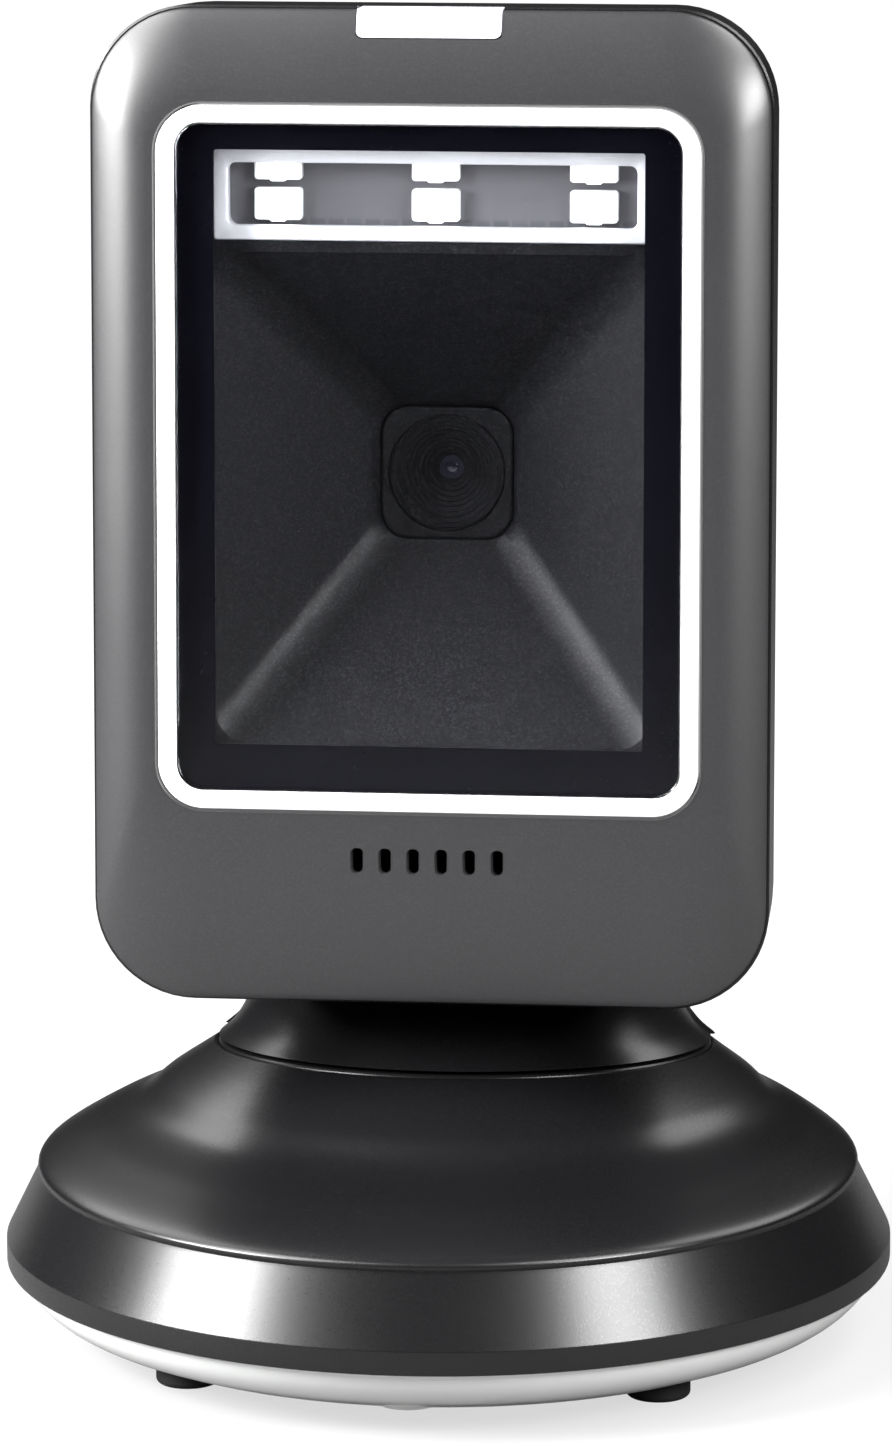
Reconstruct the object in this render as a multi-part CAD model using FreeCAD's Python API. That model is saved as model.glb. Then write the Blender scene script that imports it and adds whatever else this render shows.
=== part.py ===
import FreeCAD, Part
import math
import os

from FreeCAD import Placement, Rotation, Vector

os.makedirs("parts", exist_ok=True)

# Hands-free desktop scanner: an upright reading head on a leaning neck over a weighted round base.
# Millimetres, +Z up, the front of the scanner faces -Y, origin on the table under the base's axis.

# --- base -------------------------------------------------------------------------------------
base_radius = 47.5           # outer radius of the lip
shell_wall = 2.4             # wall of the base cover and of the bottom shell
foot_height = 2.4            # the bottom shell's underside stands this high
foot_radius = 3.4
foot_inset = 5.5             # feet sit this far inside the bottom shell's lowest edge
foot_angles = (45, 135, 225, 315)
foot_recess = 0.8
tray_height = 5.6            # visible height of the tapering bottom shell
tray_taper = 7.0             # the bottom shell's lowest edge is this far inside the lip
tray_step = 0.9              # the bottom shell starts this far inside the lip
lip_height = 2.6
chamfer_height = 7.3
chamfer_width = 3.6
rim_height = 2.6             # locating rim of the bottom shell inside the cover
rim_wall = 1.6
rim_gap = 0.3
shoulder_rise = 9.5          # from the top of the chamfer to the middle of the swivel seam
base_screw_inset = 10.0      # the base's screws stand this far inside the lip
base_screw_angles = (20, 160, 270)
base_boss_radius = 3.2
ballast_clearance = 3.3      # from the ballast's rim to the screw bosses
ballast_thickness = 6.0
ballast_lift = 0.6           # ribs hold the ballast this far above the floor

# --- cable jack at the back of the base ---------------------------------------------------------
jack_width = 14.0
jack_height = 10.0
jack_length = 15.5
jack_low = 9.6               # underside of the jack's body
jack_board_length = 18.0
jack_board_setback = 1.5     # the board ends this far in front of the jack's open face
jack_board_width = 20.0
jack_mouth_width = 9.8
jack_mouth_height = 7.2
jack_mouth_depth = 12.0
jack_gap = 0.5               # the cover's cut-out stands this far outside the jack's mouth
jack_setback = 1.0           # the jack's open face stands this far inside the cover's wall
board_thickness = 1.2

# --- swivel and neck ------------------------------------------------------------------------------
seam_radius = 27.0           # radius of the seam between base and neck
column_lean = 5.5            # degrees that the neck's axis leans back
seam_gap = 0.3
seam_flange = 8.05           # from the seam's edge in to the spigot
swivel_clearance = 0.05
washer_thickness = 0.4
retainer_thickness = 2.4
retainer_lap = 3.4           # the retainer reaches this far past the bore
neck_wall = 1.8
neck_waist = 22.5            # half the width of the neck at the barrel
neck_split = 4.5             # the two covers meet this far behind the neck's axis
rear_cover_step = 0.6        # the rear cover stands this proud near the seam
barrel_radius = 11.5

# --- tilt hinge -----------------------------------------------------------------------------------
hinge_setback = 1.4          # the tilt axis is this far in front of the seam's middle
hinge_rise = 24.6            # and this far above it
shaft_radius = 2.0
shaft_clearance = 0.05
shaft_half_length = 31.0
barrel_gap = 0.8             # between the barrel and the pocket in the head
cheek_gap = 1.0              # between each end of the barrel and the pocket's side
hinge_boss_radius = 5.0
hinge_washer_radius = 7.0
pocket_slope = 30.0          # degrees that the pocket opens forward under the barrel

# --- head -----------------------------------------------------------------------------------------
head_width = 71.0
head_height = 104.4
head_depth = 42.0
head_corner = 10.6
head_wall = 2.0
head_lean = 2.5              # degrees that the face leans back
face_reach = 32.1            # from the tilt axis forward to the middle of the window's surround
head_hang = 12.7             # the head's lower edge hangs this far below the tilt axis
outline_drop = 5.4           # the outline's middle is this far under the window's middle
face_rise = 2.4              # how far the face curves back to its outer edge
parting_depth = 3.2          # the front bezel ends here and the rear housing starts
bezel_inset = 0.3            # the bezel's edge lies this far inside the housing's
tongue_length = 0.5
tongue_wall = 1.0
tongue_gap = 0.1
head_post_radius = 2.6
post_meet = 12.5             # the bezel's bosses end on the housing's posts this far behind the face
post_seat = 15.5             # seats of the head screws
status_far = 6.5             # the status light runs back to here
head_post_insets = ((9.25, 4.8), (4.75, 69.4))   # from the housing's side and top

# --- window ---------------------------------------------------------------------------------------
ring_width = 56.4
ring_height = 73.4
ring_corner = 4.8
ring_band = 1.77
ring_depth = 2.6
ring_proud = 0.3
ring_inner_corner = 2.9
fit_gap = 0.1                # gap round the trim pieces of the window
glass_inset = 0.1
glass_thickness = 1.8
mask_thickness = 0.2
mask_side = 5.85             # printed border beside the clear window
mask_end = 5.65              # mean printed border above and below it
clear_rise = 1.0
ring_board_thickness = 0.8
ring_board_band = 3.2
seat_band = 2.2
ledge_thickness = 1.2

# --- optics ---------------------------------------------------------------------------------------
bay_depth = 5.0              # front of the lamp frame and of the well, behind the face
bay_height = 11.0
bay_overlap = 1.35           # the lamp frame runs on this far above the clear window
bay_frame_thickness = 1.2
bay_cut_side = 1.05          # frame left at each side of the lamp opening
bay_cut_height = 6.5
bay_cut_rise = 4.8           # middle of the lamp opening above the frame's lower edge
lamp_board_depth = 9.6
lamp_width = 5.0
lamp_height = 3.4
lamp_thickness = 1.2
lamp_side_gap = 2.3          # from the outer lamps to the sides of the lamp opening
lamp_row_rises = (3.5, 7.7)  # rows of lamps above the frame's lower edge
lamp_columns = 3
well_wall = 1.2
lens_z = -3.4
block_width = 14.0
block_corner = 3.0
block_depth = 19.0           # front of the lens block behind the face
block_length = 9.0
cone_radius = 6.3
cone_end_radius = 1.5
cone_length = 5.0
cone_steps = 8
lens_radius = 1.4
lens_thickness = 1.2
sensor_board_size = 26.0
sensor_size = 7.0
sensor_thickness = 1.1
main_board_depth = 33.4
main_board_width = 44.0
main_board_clearance = 5.15  # from the pocket's wall up to the main board
main_board_height = 64.0
main_board_thickness = 1.6
chip_thickness = 1.3
main_chips = ((0, 22, 15, 15), (-13, 23, 8, 10), (13.5, 22, 7, 7), (12, 8, 6, 4), (-12, 6, 9, 5))
flex_width = 9.0
flex_thickness = 0.3

# --- buzzer and status light ----------------------------------------------------------------------
slot_count = 6
slot_pitch = 2.94
slot_width = 1.1
slot_height = 2.5
slot_drop = 42.0             # slots lie this far under the window's middle
buzzer_radius = 7.0
buzzer_near = 6.2            # front of the buzzer behind the face
buzzer_z = -45.0
buzzer_thickness = 3.6
buzzer_collar = 1.0
status_width = 15.0
status_height = 3.1
status_corner = 0.7
status_wall = 1.8
status_proud = 0.1
status_board_width = 18.0
status_board_height = 5.0

# --- screws ---------------------------------------------------------------------------------------
screw_radius = 1.25
screw_head_radius = 2.3
screw_head_height = 1.6
bite_gap = 0.03              # radial gap between a screw and its plastic hole

tray_top = foot_height + tray_height
lip_top = tray_top + lip_height
chamfer_top = lip_top + chamfer_height
shoulder_radius = base_radius - chamfer_width
tray_foot_radius = base_radius - tray_taper
foot_circle = tray_foot_radius - foot_inset
base_screw_circle = base_radius - base_screw_inset
ballast_radius = base_screw_circle - base_boss_radius - ballast_clearance
jack_back = shoulder_radius - shell_wall - jack_setback
jack_board_back = jack_back - jack_board_setback
jack_board_front = jack_board_back - jack_board_length
spigot_radius = seam_radius - seam_flange
seam_y = shoulder_radius - seam_radius
seam_z = chamfer_top + shoulder_rise
hinge_y = seam_y - hinge_setback
hinge_z = seam_z + hinge_rise
face_y = hinge_y - face_reach
face_z = hinge_z - head_hang + head_height / 2 + outline_drop
floor_top = foot_height + shell_wall
head_top = head_height / 2 - outline_drop
head_posts = [(head_width / 2 - side, head_top - down) for side, down in head_post_insets]
clear_width = ring_width - 2 * mask_side
clear_height = ring_height - 2 * mask_end
bay_top = clear_rise + clear_height / 2 + bay_overlap
bay_bottom = bay_top - bay_height
bay_cut_width = clear_width - 2 * bay_cut_side
bay_cut_z = bay_bottom + bay_cut_rise
lamp_pitch = (bay_cut_width - lamp_width - 2 * lamp_side_gap) / (lamp_columns - 1)
lamp_rows = [bay_bottom + rise for rise in lamp_row_rises]

head_placement = Placement(Vector(0, face_y, face_z), Rotation(Vector(1, 0, 0), -head_lean))
neck_placement = Placement(Vector(0, seam_y, seam_z), Rotation(Vector(1, 0, 0), -column_lean))
hinge_in_head = head_placement.inverse().multVec(Vector(0, hinge_y, hinge_z))
main_board_bottom = hinge_in_head.z + barrel_radius + barrel_gap + head_wall + main_board_clearance
main_board_top = main_board_bottom + main_board_height
hinge_in_neck = neck_placement.inverse().multVec(Vector(0, hinge_y, hinge_z))


# --- helpers --------------------------------------------------------------------------------------
def box(x0, x1, y0, y1, z0, z1):
    return Part.makeBox(x1 - x0, y1 - y0, z1 - z0, Vector(x0, y0, z0))


def rod(radius, start, end):
    along = end - start
    return Part.makeCylinder(radius, along.Length, start, along)


def tube(outer, inner, start, end):
    return rod(outer, start, end).cut(rod(inner, start, end))


def cross_rod(radius, x0, x1, centre):
    return rod(radius, Vector(x0, centre.y, centre.z), Vector(x1, centre.y, centre.z))


def outline(width, height, corner, depth, middle=0.0):
    """Rounded rectangle facing the front, at a depth behind the face."""
    half_w = width / 2
    half_h = height / 2
    edges = []
    for turn, sx, sz in ((0, 1, 1), (90, -1, 1), (180, -1, -1), (270, 1, -1)):
        centre = Vector(sx * (half_w - corner), depth, middle + sz * (half_h - corner))
        points = []
        for step in (0, 45, 90):
            angle = math.radians(turn + step)
            points.append(centre + Vector(corner * math.cos(angle), 0, corner * math.sin(angle)))
        edges.append(points)
    wire = []
    for index, points in enumerate(edges):
        following = edges[(index + 1) % 4][0]
        wire.append(Part.Arc(*points).toShape())
        wire.append(Part.LineSegment(points[2], following).toShape())
    return Part.Wire(wire)


def plate(width, height, corner, near, far, middle=0.0):
    face = Part.Face(outline(width, height, corner, near, middle))
    return face.extrude(Vector(0, far - near, 0))


def frame(width, height, corner, band, near, far, middle=0.0):
    inner_corner = max(corner - band, 0.4)
    solid = plate(width, height, corner, near, far, middle)
    return solid.cut(plate(width - 2 * band, height - 2 * band, inner_corner, near, far, middle))


def oval(half_x, half_y, height, shift):
    """Closed oval section in a level plane, starting at the back of the piece."""
    if abs(half_x - half_y) < 1e-6:
        curve = Part.Circle(Vector(0, 0, 0), Vector(0, 0, 1), half_x)
    elif half_x > half_y:
        curve = Part.Ellipse(Vector(0, 0, 0), half_x, half_y)
    else:
        curve = Part.Ellipse(Vector(0, half_y, 0), Vector(half_x, 0, 0), Vector(0, 0, 0))
    wire = Part.Wire(curve.toShape())
    wire.translate(Vector(0, shift, height))
    return wire


def loft(sections, ruled=False):
    return Part.makeLoft(sections, True, ruled)


def in_head(shape):
    placed = shape.copy()
    placed.Placement = head_placement.multiply(placed.Placement)
    return placed


def in_neck(shape):
    placed = shape.copy()
    placed.Placement = neck_placement.multiply(placed.Placement)
    return placed


def group(shapes):
    return Part.makeCompound(shapes)


def save(node, shape):
    """Write one node, cleaned, as its own file."""
    clean = shape
    if len(shape.Solids) == 1:
        clean = shape.Solids[0]
    clean.exportStep("parts/" + node + ".step")
    print(node, "solids", len(clean.Solids), "volume", round(clean.Volume, 2), "valid", clean.isValid())


def screw(start, direction, length):
    """Pan head screw whose head sits at start and whose shank runs along direction."""
    axis = Vector(direction)
    axis.normalize()
    head = Part.makeCylinder(screw_head_radius, screw_head_height, start - axis * screw_head_height, axis)
    shank = Part.makeCylinder(screw_radius, length, start, axis)
    drive_radius = screw_head_radius * 0.45
    drive = Part.makeCylinder(drive_radius, screw_head_height * 0.5, start - axis * screw_head_height, axis)
    return head.fuse(shank).cut(drive)


def around(radius, angle, height):
    turn = math.radians(angle)
    return Vector(radius * math.cos(turn), radius * math.sin(turn), height)


# --- base -----------------------------------------------------------------------------------------
def bell(inset):
    """The base's flaring top: round sections that share one upright back line."""
    sections = []
    drop = shoulder_radius - seam_radius
    for share, rise, lean in ((0.0, 0.0, 0.0), (0.02, 0.14, 0.0), (0.275, 0.35, 0.05), (0.54, 0.515, 0.2),
                              (0.70, 0.71, 0.45), (0.85, 0.86, 0.75), (1.0, 1.0, 1.0)):
        radius = shoulder_radius - drop * share
        ring = oval(radius - inset, radius - inset, 0, 0)
        ring.rotate(Vector(0, 0, 0), Vector(1, 0, 0), -column_lean * lean)
        ring.translate(Vector(0, shoulder_radius - radius, chamfer_top + shoulder_rise * rise - inset))
        sections.append(ring)
    return loft(sections)


def base_body(inset, low):
    rim = base_radius - inset
    points = [Vector(0, 0, low), Vector(rim, 0, low), Vector(rim, 0, lip_top),
              Vector(shoulder_radius - inset, 0, chamfer_top - inset), Vector(0, 0, chamfer_top - inset)]
    skirt = Part.Face(Part.makePolygon(points + points[:1]))
    return skirt.revolve(Vector(0, 0, 0), Vector(0, 0, 1), 360).fuse(bell(inset))


def jack_mouth(grow, near, far):
    """The jack's mouth, grown on its four sides, from one depth to another."""
    half = jack_mouth_width / 2 + grow
    low = jack_low + (jack_height - jack_mouth_height) / 2 - grow
    return box(-half, half, near, far, low, low + jack_mouth_height + 2 * grow)


def base_screw_places(height):
    return [around(base_screw_circle, angle, height) for angle in base_screw_angles]


def make_base_cover():
    cover = base_body(0, tray_top).cut(base_body(shell_wall, tray_top - 1))
    inner = base_body(shell_wall * 0.5, tray_top)
    for place in base_screw_places(tray_top + 0.5):
        boss = rod(base_boss_radius, place, Vector(place.x, place.y, seam_z)).common(inner)
        cover = cover.fuse(boss)
    for place in base_screw_places(0):
        hole_top = Vector(place.x, place.y, chamfer_top - shell_wall)
        cover = cover.cut(rod(screw_radius + bite_gap, place, hole_top))
    bore = rod(spigot_radius + swivel_clearance, Vector(0, 0, -12), Vector(0, 0, 3))
    return cover.cut(in_neck(bore)).cut(jack_mouth(jack_gap, jack_back - 1, base_radius + 1))


def make_base_tray():
    top_radius = base_radius - tray_step
    edge = [Vector(0, 0, foot_height), Vector(tray_foot_radius - 1.0, 0, foot_height)]
    low = Vector(tray_foot_radius, 0, foot_height + 0.5)
    high = Vector(top_radius, 0, tray_top)
    bulge = Vector((low.x + high.x) / 2 + 0.7, 0, (low.z + high.z) / 2 - 0.7)
    lines = [Part.makePolygon(edge + [low]), Part.Arc(low, bulge, high).toShape()]
    rim_outer = base_radius - shell_wall - rim_gap
    rim_inner = rim_outer - rim_wall
    inside = [high, Vector(rim_outer, 0, tray_top), Vector(rim_outer, 0, tray_top + rim_height),
              Vector(rim_inner, 0, tray_top + rim_height), Vector(rim_inner, 0, tray_top),
              Vector(tray_foot_radius - shell_wall, 0, floor_top), Vector(0, 0, floor_top), edge[0]]
    lines.append(Part.makePolygon(inside))
    face = Part.Face(Part.Wire([e for line in lines for e in line.Edges]))
    tray = face.revolve(Vector(0, 0, 0), Vector(0, 0, 1), 360).Solids[0]
    for angle in foot_angles:
        place = around(foot_circle, angle, foot_height)
        tray = tray.cut(rod(foot_radius + fit_gap, place, place + Vector(0, 0, foot_recess)))
    for place in base_screw_places(foot_height):
        post_top = Vector(place.x, place.y, tray_top + 0.5)
        tray = tray.fuse(rod(base_boss_radius, place, post_top))
        tray = tray.cut(rod(screw_head_radius + 0.2, place, place + Vector(0, 0, screw_head_height + 0.3)))
        tray = tray.cut(rod(screw_radius + 0.2, place, post_top))
    for side in (-1, 1):
        for y in (jack_board_front + 2.0, jack_board_back - 3.0):
            foot = Vector(side * (jack_board_width / 2 - 2.0), y, floor_top)
            tray = tray.fuse(rod(1.4, foot, Vector(foot.x, y, jack_low - board_thickness)))
    for angle in (0, 180, 270):
        rib = around(ballast_radius - 4, angle, floor_top)
        tray = tray.fuse(rod(2.0, rib, rib + Vector(0, 0, ballast_lift)))
    return tray


def make_feet():
    feet = []
    for angle in foot_angles:
        place = around(foot_circle, angle, 0)
        foot = rod(foot_radius, place, place + Vector(0, 0, foot_height + foot_recess))
        lower = [edge for edge in foot.Edges if abs(edge.CenterOfMass.z) < 0.01]
        feet.append(foot.makeFillet(0.6, lower))
    return group(feet)


def make_ballast():
    low = floor_top + ballast_lift
    disc = Part.makeCylinder(ballast_radius, ballast_thickness, Vector(0, 0, low))
    half = jack_board_width / 2 + 1.5
    return disc.cut(box(-half, half, jack_board_front - 1.5, base_radius, 0, chamfer_top))


def make_jack():
    half = jack_width / 2
    shell = box(-half, half, jack_back - jack_length, jack_back, jack_low, jack_low + jack_height)
    latch = box(-1.6, 1.6, jack_back - jack_mouth_depth, jack_back, jack_low + 0.8, jack_low + jack_height / 2)
    return shell.cut(jack_mouth(0, jack_back - jack_mouth_depth, jack_back + 1)).cut(latch)


def make_jack_contacts():
    """Ten spring contacts on the roof of the jack's mouth."""
    roof = jack_low + jack_height / 2 + jack_mouth_height / 2
    deep = jack_back - jack_mouth_depth
    pins = []
    for index in range(10):
        x = (index - 4.5) * 0.85
        pins.append(box(x - 0.18, x + 0.18, deep + 0.2, deep + 6.0, roof - 0.45, roof - 0.05))
    return group(pins)


def make_jack_board():
    half = jack_board_width / 2
    return box(-half, half, jack_board_front, jack_board_back, jack_low - board_thickness, jack_low)


# --- swivel and neck ------------------------------------------------------------------------------
def neck_body(inset, step):
    """The neck's outer form: round at the seam, a flat oval that runs into the barrel."""
    reach = hinge_in_neck.z
    sections = []
    for share, half_x, half_y, proud in ((0.0, seam_radius, seam_radius, 1.0),
                                         (0.08, seam_radius - 2.0, seam_radius - 2.4, 1.0),
                                         (0.22, seam_radius - 3.7, seam_radius - 6.2, 0.6),
                                         (0.40, neck_waist + 0.3, barrel_radius + 5.0, 0.0),
                                         (0.62, neck_waist - 0.4, barrel_radius + 1.0, 0.0),
                                         (0.84, neck_waist - 0.8, barrel_radius - 0.8, 0.0),
                                         (1.0, neck_waist - 1.0, barrel_radius - 1.8, 0.0)):
        grow = step * proud - inset
        height = seam_gap + (reach - seam_gap) * share
        sections.append(oval(half_x + grow, half_y + grow, height, hinge_in_neck.y * min(1, share * 1.6)))
    barrel = cross_rod(barrel_radius - inset, -neck_waist + inset, neck_waist - inset, hinge_in_neck)
    return loft(sections).fuse(barrel)


def make_neck_covers():
    far = 60
    mouth = Part.makeCylinder(seam_radius - neck_wall, 1.2, Vector(0, 0, seam_gap - 1.0))
    cavity = neck_body(neck_wall, 0).fuse(mouth)
    shaft = cross_rod(shaft_radius + 0.3, -far, far, hinge_in_neck)
    front = neck_body(0, 0).cut(cavity).cut(shaft).cut(box(-far, far, neck_split, far, -far, far))
    rear = neck_body(0, rear_cover_step).cut(cavity).cut(shaft).cut(box(-far, far, -far, neck_split, -far, far))
    return front, rear


def make_spine():
    """The load-bearing bracket: spigot, flange, column and hinge bush in one casting."""
    below = shell_wall + washer_thickness + 0.1
    spigot = Part.makeCylinder(spigot_radius, below + seam_gap, Vector(0, 0, -below))
    flange = Part.makeCylinder(seam_radius - neck_wall - 2.0, 1.2, Vector(0, 0, seam_gap))
    column = box(-9, 9, hinge_in_neck.y - 5, hinge_in_neck.y + 5, seam_gap, hinge_in_neck.z)
    bush = cross_rod(6.0, -neck_waist + neck_wall + 0.4, neck_waist - neck_wall - 0.4, hinge_in_neck)
    spine = spigot.fuse([flange, column, bush])
    spine = spine.cut(cross_rod(shaft_radius, -60, 60, hinge_in_neck))
    duct = Part.makeCylinder(3.2, 60, Vector(0, hinge_in_neck.y, -10))
    top = box(-60, 60, -60, 60, hinge_in_neck.z - shaft_radius - 2.5, 60)
    spine = spine.cut(duct.cut(top))
    for place in retainer_screw_places(-below):
        spine = spine.cut(rod(screw_radius + bite_gap, place, place + Vector(0, 0, below + 1.0)))
    for place in neck_screw_places():
        spine = spine.fuse(rod(2.6, Vector(place.x, hinge_in_neck.y, place.z), place))
        spine = spine.cut(rod(screw_radius + bite_gap, Vector(place.x, place.y - 6.0, place.z), place))
    return spine


def retainer_screw_places(height):
    return [around(spigot_radius - 4.0, angle, height) for angle in (30, 150, 270)]


def neck_screw_places():
    """Where the rear cover's two screws meet the spine."""
    return [Vector(side * 5.5, neck_split + 0.5, hinge_in_neck.z - 11.0) for side in (-1, 1)]


def make_retainer():
    top = -shell_wall - washer_thickness - 0.1
    foot = Vector(0, 0, top - retainer_thickness)
    disc = Part.makeCylinder(spigot_radius + retainer_lap, retainer_thickness, foot)
    disc = disc.cut(Part.makeCylinder(8.0, 60, Vector(0, 0, -50)))
    for place in retainer_screw_places(top - retainer_thickness):
        disc = disc.cut(rod(screw_radius + 0.1, place, place + Vector(0, 0, retainer_thickness)))
        disc = disc.cut(rod(screw_head_radius + 0.1, place, place + Vector(0, 0, screw_head_height)))
    return disc


def make_swivel_washer():
    outer = spigot_radius + retainer_lap - 0.6
    top = -shell_wall - 0.05
    return tube(outer, spigot_radius + 0.2, Vector(0, 0, top - washer_thickness), Vector(0, 0, top))


def make_retainer_screws():
    seat = -shell_wall - washer_thickness - 0.1 - retainer_thickness + screw_head_height
    length = retainer_thickness - screw_head_height + 2.4
    return group([screw(place, Vector(0, 0, 1), length) for place in retainer_screw_places(seat)])


def rear_seat(place, part):
    """Cut the rear cover's screw hole and its sunk seat, and add the seat's tube."""
    seat_y = place.y + 2.2
    out = Vector(place.x, 40, place.z)
    wall = rod(screw_head_radius + 1.2, Vector(place.x, place.y + 0.6, place.z), out)
    solid = part.fuse(wall.common(neck_body(0.3, 0)).cut(box(-60, 60, -60, neck_split, -60, 60)))
    solid = solid.cut(rod(screw_head_radius + 0.2, Vector(place.x, seat_y, place.z), out))
    return solid.cut(rod(screw_radius + 0.2, place - Vector(0, 3, 0), out))


def make_neck_screws():
    return group([screw(place + Vector(0, 2.2, 0), Vector(0, -1, 0), 7.0) for place in neck_screw_places()])


def make_harness():
    """Straight run of the signal harness inside the spine's duct."""
    low = -shell_wall - washer_thickness - retainer_thickness
    start = Vector(0, hinge_in_neck.y, low)
    return rod(2.0, start, Vector(0, hinge_in_neck.y, hinge_in_neck.z - shaft_radius - 3.0))


def make_shaft():
    shaft = cross_rod(shaft_radius, -shaft_half_length, shaft_half_length, Vector(0, hinge_y, hinge_z))
    return shaft.makeChamfer(0.4, [edge for edge in shaft.Edges if len(edge.Vertexes) == 1])


def make_hinge_washers():
    near = neck_waist + 0.05
    far = neck_waist + cheek_gap - 0.1
    washers = []
    for side in (-1, 1):
        start = Vector(side * near, hinge_y, hinge_z)
        end = Vector(side * far, hinge_y, hinge_z)
        washers.append(tube(hinge_washer_radius, shaft_radius + 0.02, start, end))
    return group(washers)


# --- head shells ----------------------------------------------------------------------------------
def face_outline(share, grow, depth):
    """Outline of the face between the window's surround (share 0) and the outer edge (share 1)."""
    near_w = ring_width + 2
    near_h = ring_height + 2
    far_w = head_width - 2 * bezel_inset
    far_h = head_height - 2 * bezel_inset
    width = near_w + (far_w - near_w) * share + 2 * grow
    height = near_h + (far_h - near_h) * share + 2 * grow
    corner = ring_corner + 1 + (head_corner - ring_corner - 1) * share + grow
    return outline(width, height, corner, depth, -outline_drop * share)


def face_body(grow, shift, far):
    sections = []
    for share in (0.0, 0.35, 0.7, 1.0):
        sections.append(face_outline(share, grow, shift + face_rise * share ** 2))
    cap = Part.Face(face_outline(1.0, grow, shift + face_rise))
    return loft(sections).fuse(cap.extrude(Vector(0, far - shift - face_rise, 0)))


def housing_body(inset, near, far_inset):
    sections = []
    for share, taper in ((0.0, 0.0), (0.4, 1.2), (0.75, 4.5), (0.93, 11.0), (1.0, 17.0)):
        depth = near + (head_depth - far_inset - near) * share
        shrink = 2 * inset + taper
        corner = head_corner - inset + taper * 0.2
        sections.append(outline(head_width - shrink, head_height - shrink, corner, depth, -outline_drop))
    return loft(sections)


def post_places():
    return [(side * x, z) for x, z in head_posts for side in (-1, 1)]


def slot_places():
    return [(index - (slot_count - 1) / 2) * slot_pitch for index in range(slot_count)]


def status_block(gap):
    """The notch at the middle of the top edge that the status light fills."""
    top = head_height / 2 - outline_drop
    half = status_width / 2 + gap
    low = top - status_height - gap
    notch = box(-half, half, -2, status_far, low, top + 3)
    corners = [edge for edge in notch.Edges if abs(edge.CenterOfMass.z - low) < 0.01]
    lower = [edge for edge in corners if abs(edge.CenterOfMass.x) > 1]
    return notch.makeFillet(status_corner, lower)


def make_bezel():
    shell = face_body(0, 0, parting_depth).cut(face_body(-head_wall, head_wall, parting_depth + head_wall + 1))
    seat_far = ring_depth + ring_board_thickness + ledge_thickness
    seat = plate(ring_width + 2 * seat_band, ring_height + 2 * seat_band, ring_corner + seat_band, 0.4, seat_far)
    shell = shell.fuse(seat.common(face_body(-0.2, 0.2, seat_far)))
    opening = ring_width + 2 * fit_gap
    board_far = ring_depth + ring_board_thickness
    shell = shell.cut(plate(opening, ring_height + 2 * fit_gap, ring_corner + fit_gap, -2, board_far))
    shell = shell.cut(plate(clear_width + 1.2, clear_height + 1.2, 0.6, -2, 20, clear_rise))
    inset = 2 * (bezel_inset + head_wall)
    shell = shell.cut(frame(head_width - inset, head_height - inset, head_corner - head_wall,
                            tongue_wall + 2 * tongue_gap, parting_depth - tongue_length - fit_gap,
                            parting_depth + 1, -outline_drop))
    for x, z in post_places():
        boss = rod(head_post_radius, Vector(x, 2.5, z), Vector(x, post_meet, z))
        shell = shell.fuse(boss.common(face_body(-0.4, 0.4, post_meet)))
        shell = shell.cut(rod(screw_radius + bite_gap, Vector(x, 4.4, z), Vector(x, 20, z)))
    collar = tube(buzzer_radius + fit_gap + buzzer_collar, buzzer_radius + fit_gap,
                  Vector(0, 0, buzzer_z), Vector(0, buzzer_near + 2.0, buzzer_z))
    collar = collar.common(face_body(-0.4, 0.4, buzzer_near + 2.0))
    shell = shell.fuse(collar.cut(box(-60, 60, -5, seat_far - 0.4, -ring_height / 2 - seat_band, 60)))
    for x in slot_places():
        slot = plate(slot_width, slot_height, slot_width * 0.42, -2, 5, -slot_drop)
        slot.translate(Vector(x, 0, 0))
        shell = shell.cut(slot)
    return shell.cut(status_block(fit_gap))


def neck_pocket(grow):
    """Room in the head for the neck's barrel and for the neck swinging under it."""
    half = neck_waist + cheek_gap + grow
    radius = barrel_radius + barrel_gap + grow
    barrel = cross_rod(radius, -half, half, hinge_in_head)
    y = hinge_in_head.y
    z = hinge_in_head.z
    slope = math.radians(pocket_slope)
    front_high = Vector(-half, y - radius, z)
    front_low = Vector(-half, y - radius - 30 * math.tan(slope), z - 30)
    points = [front_high, front_low, Vector(-half, 80, z - 30), Vector(-half, 80, z), front_high]
    swing = Part.Face(Part.makePolygon(points)).extrude(Vector(2 * half, 0, 0))
    return barrel.fuse(swing)


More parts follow.
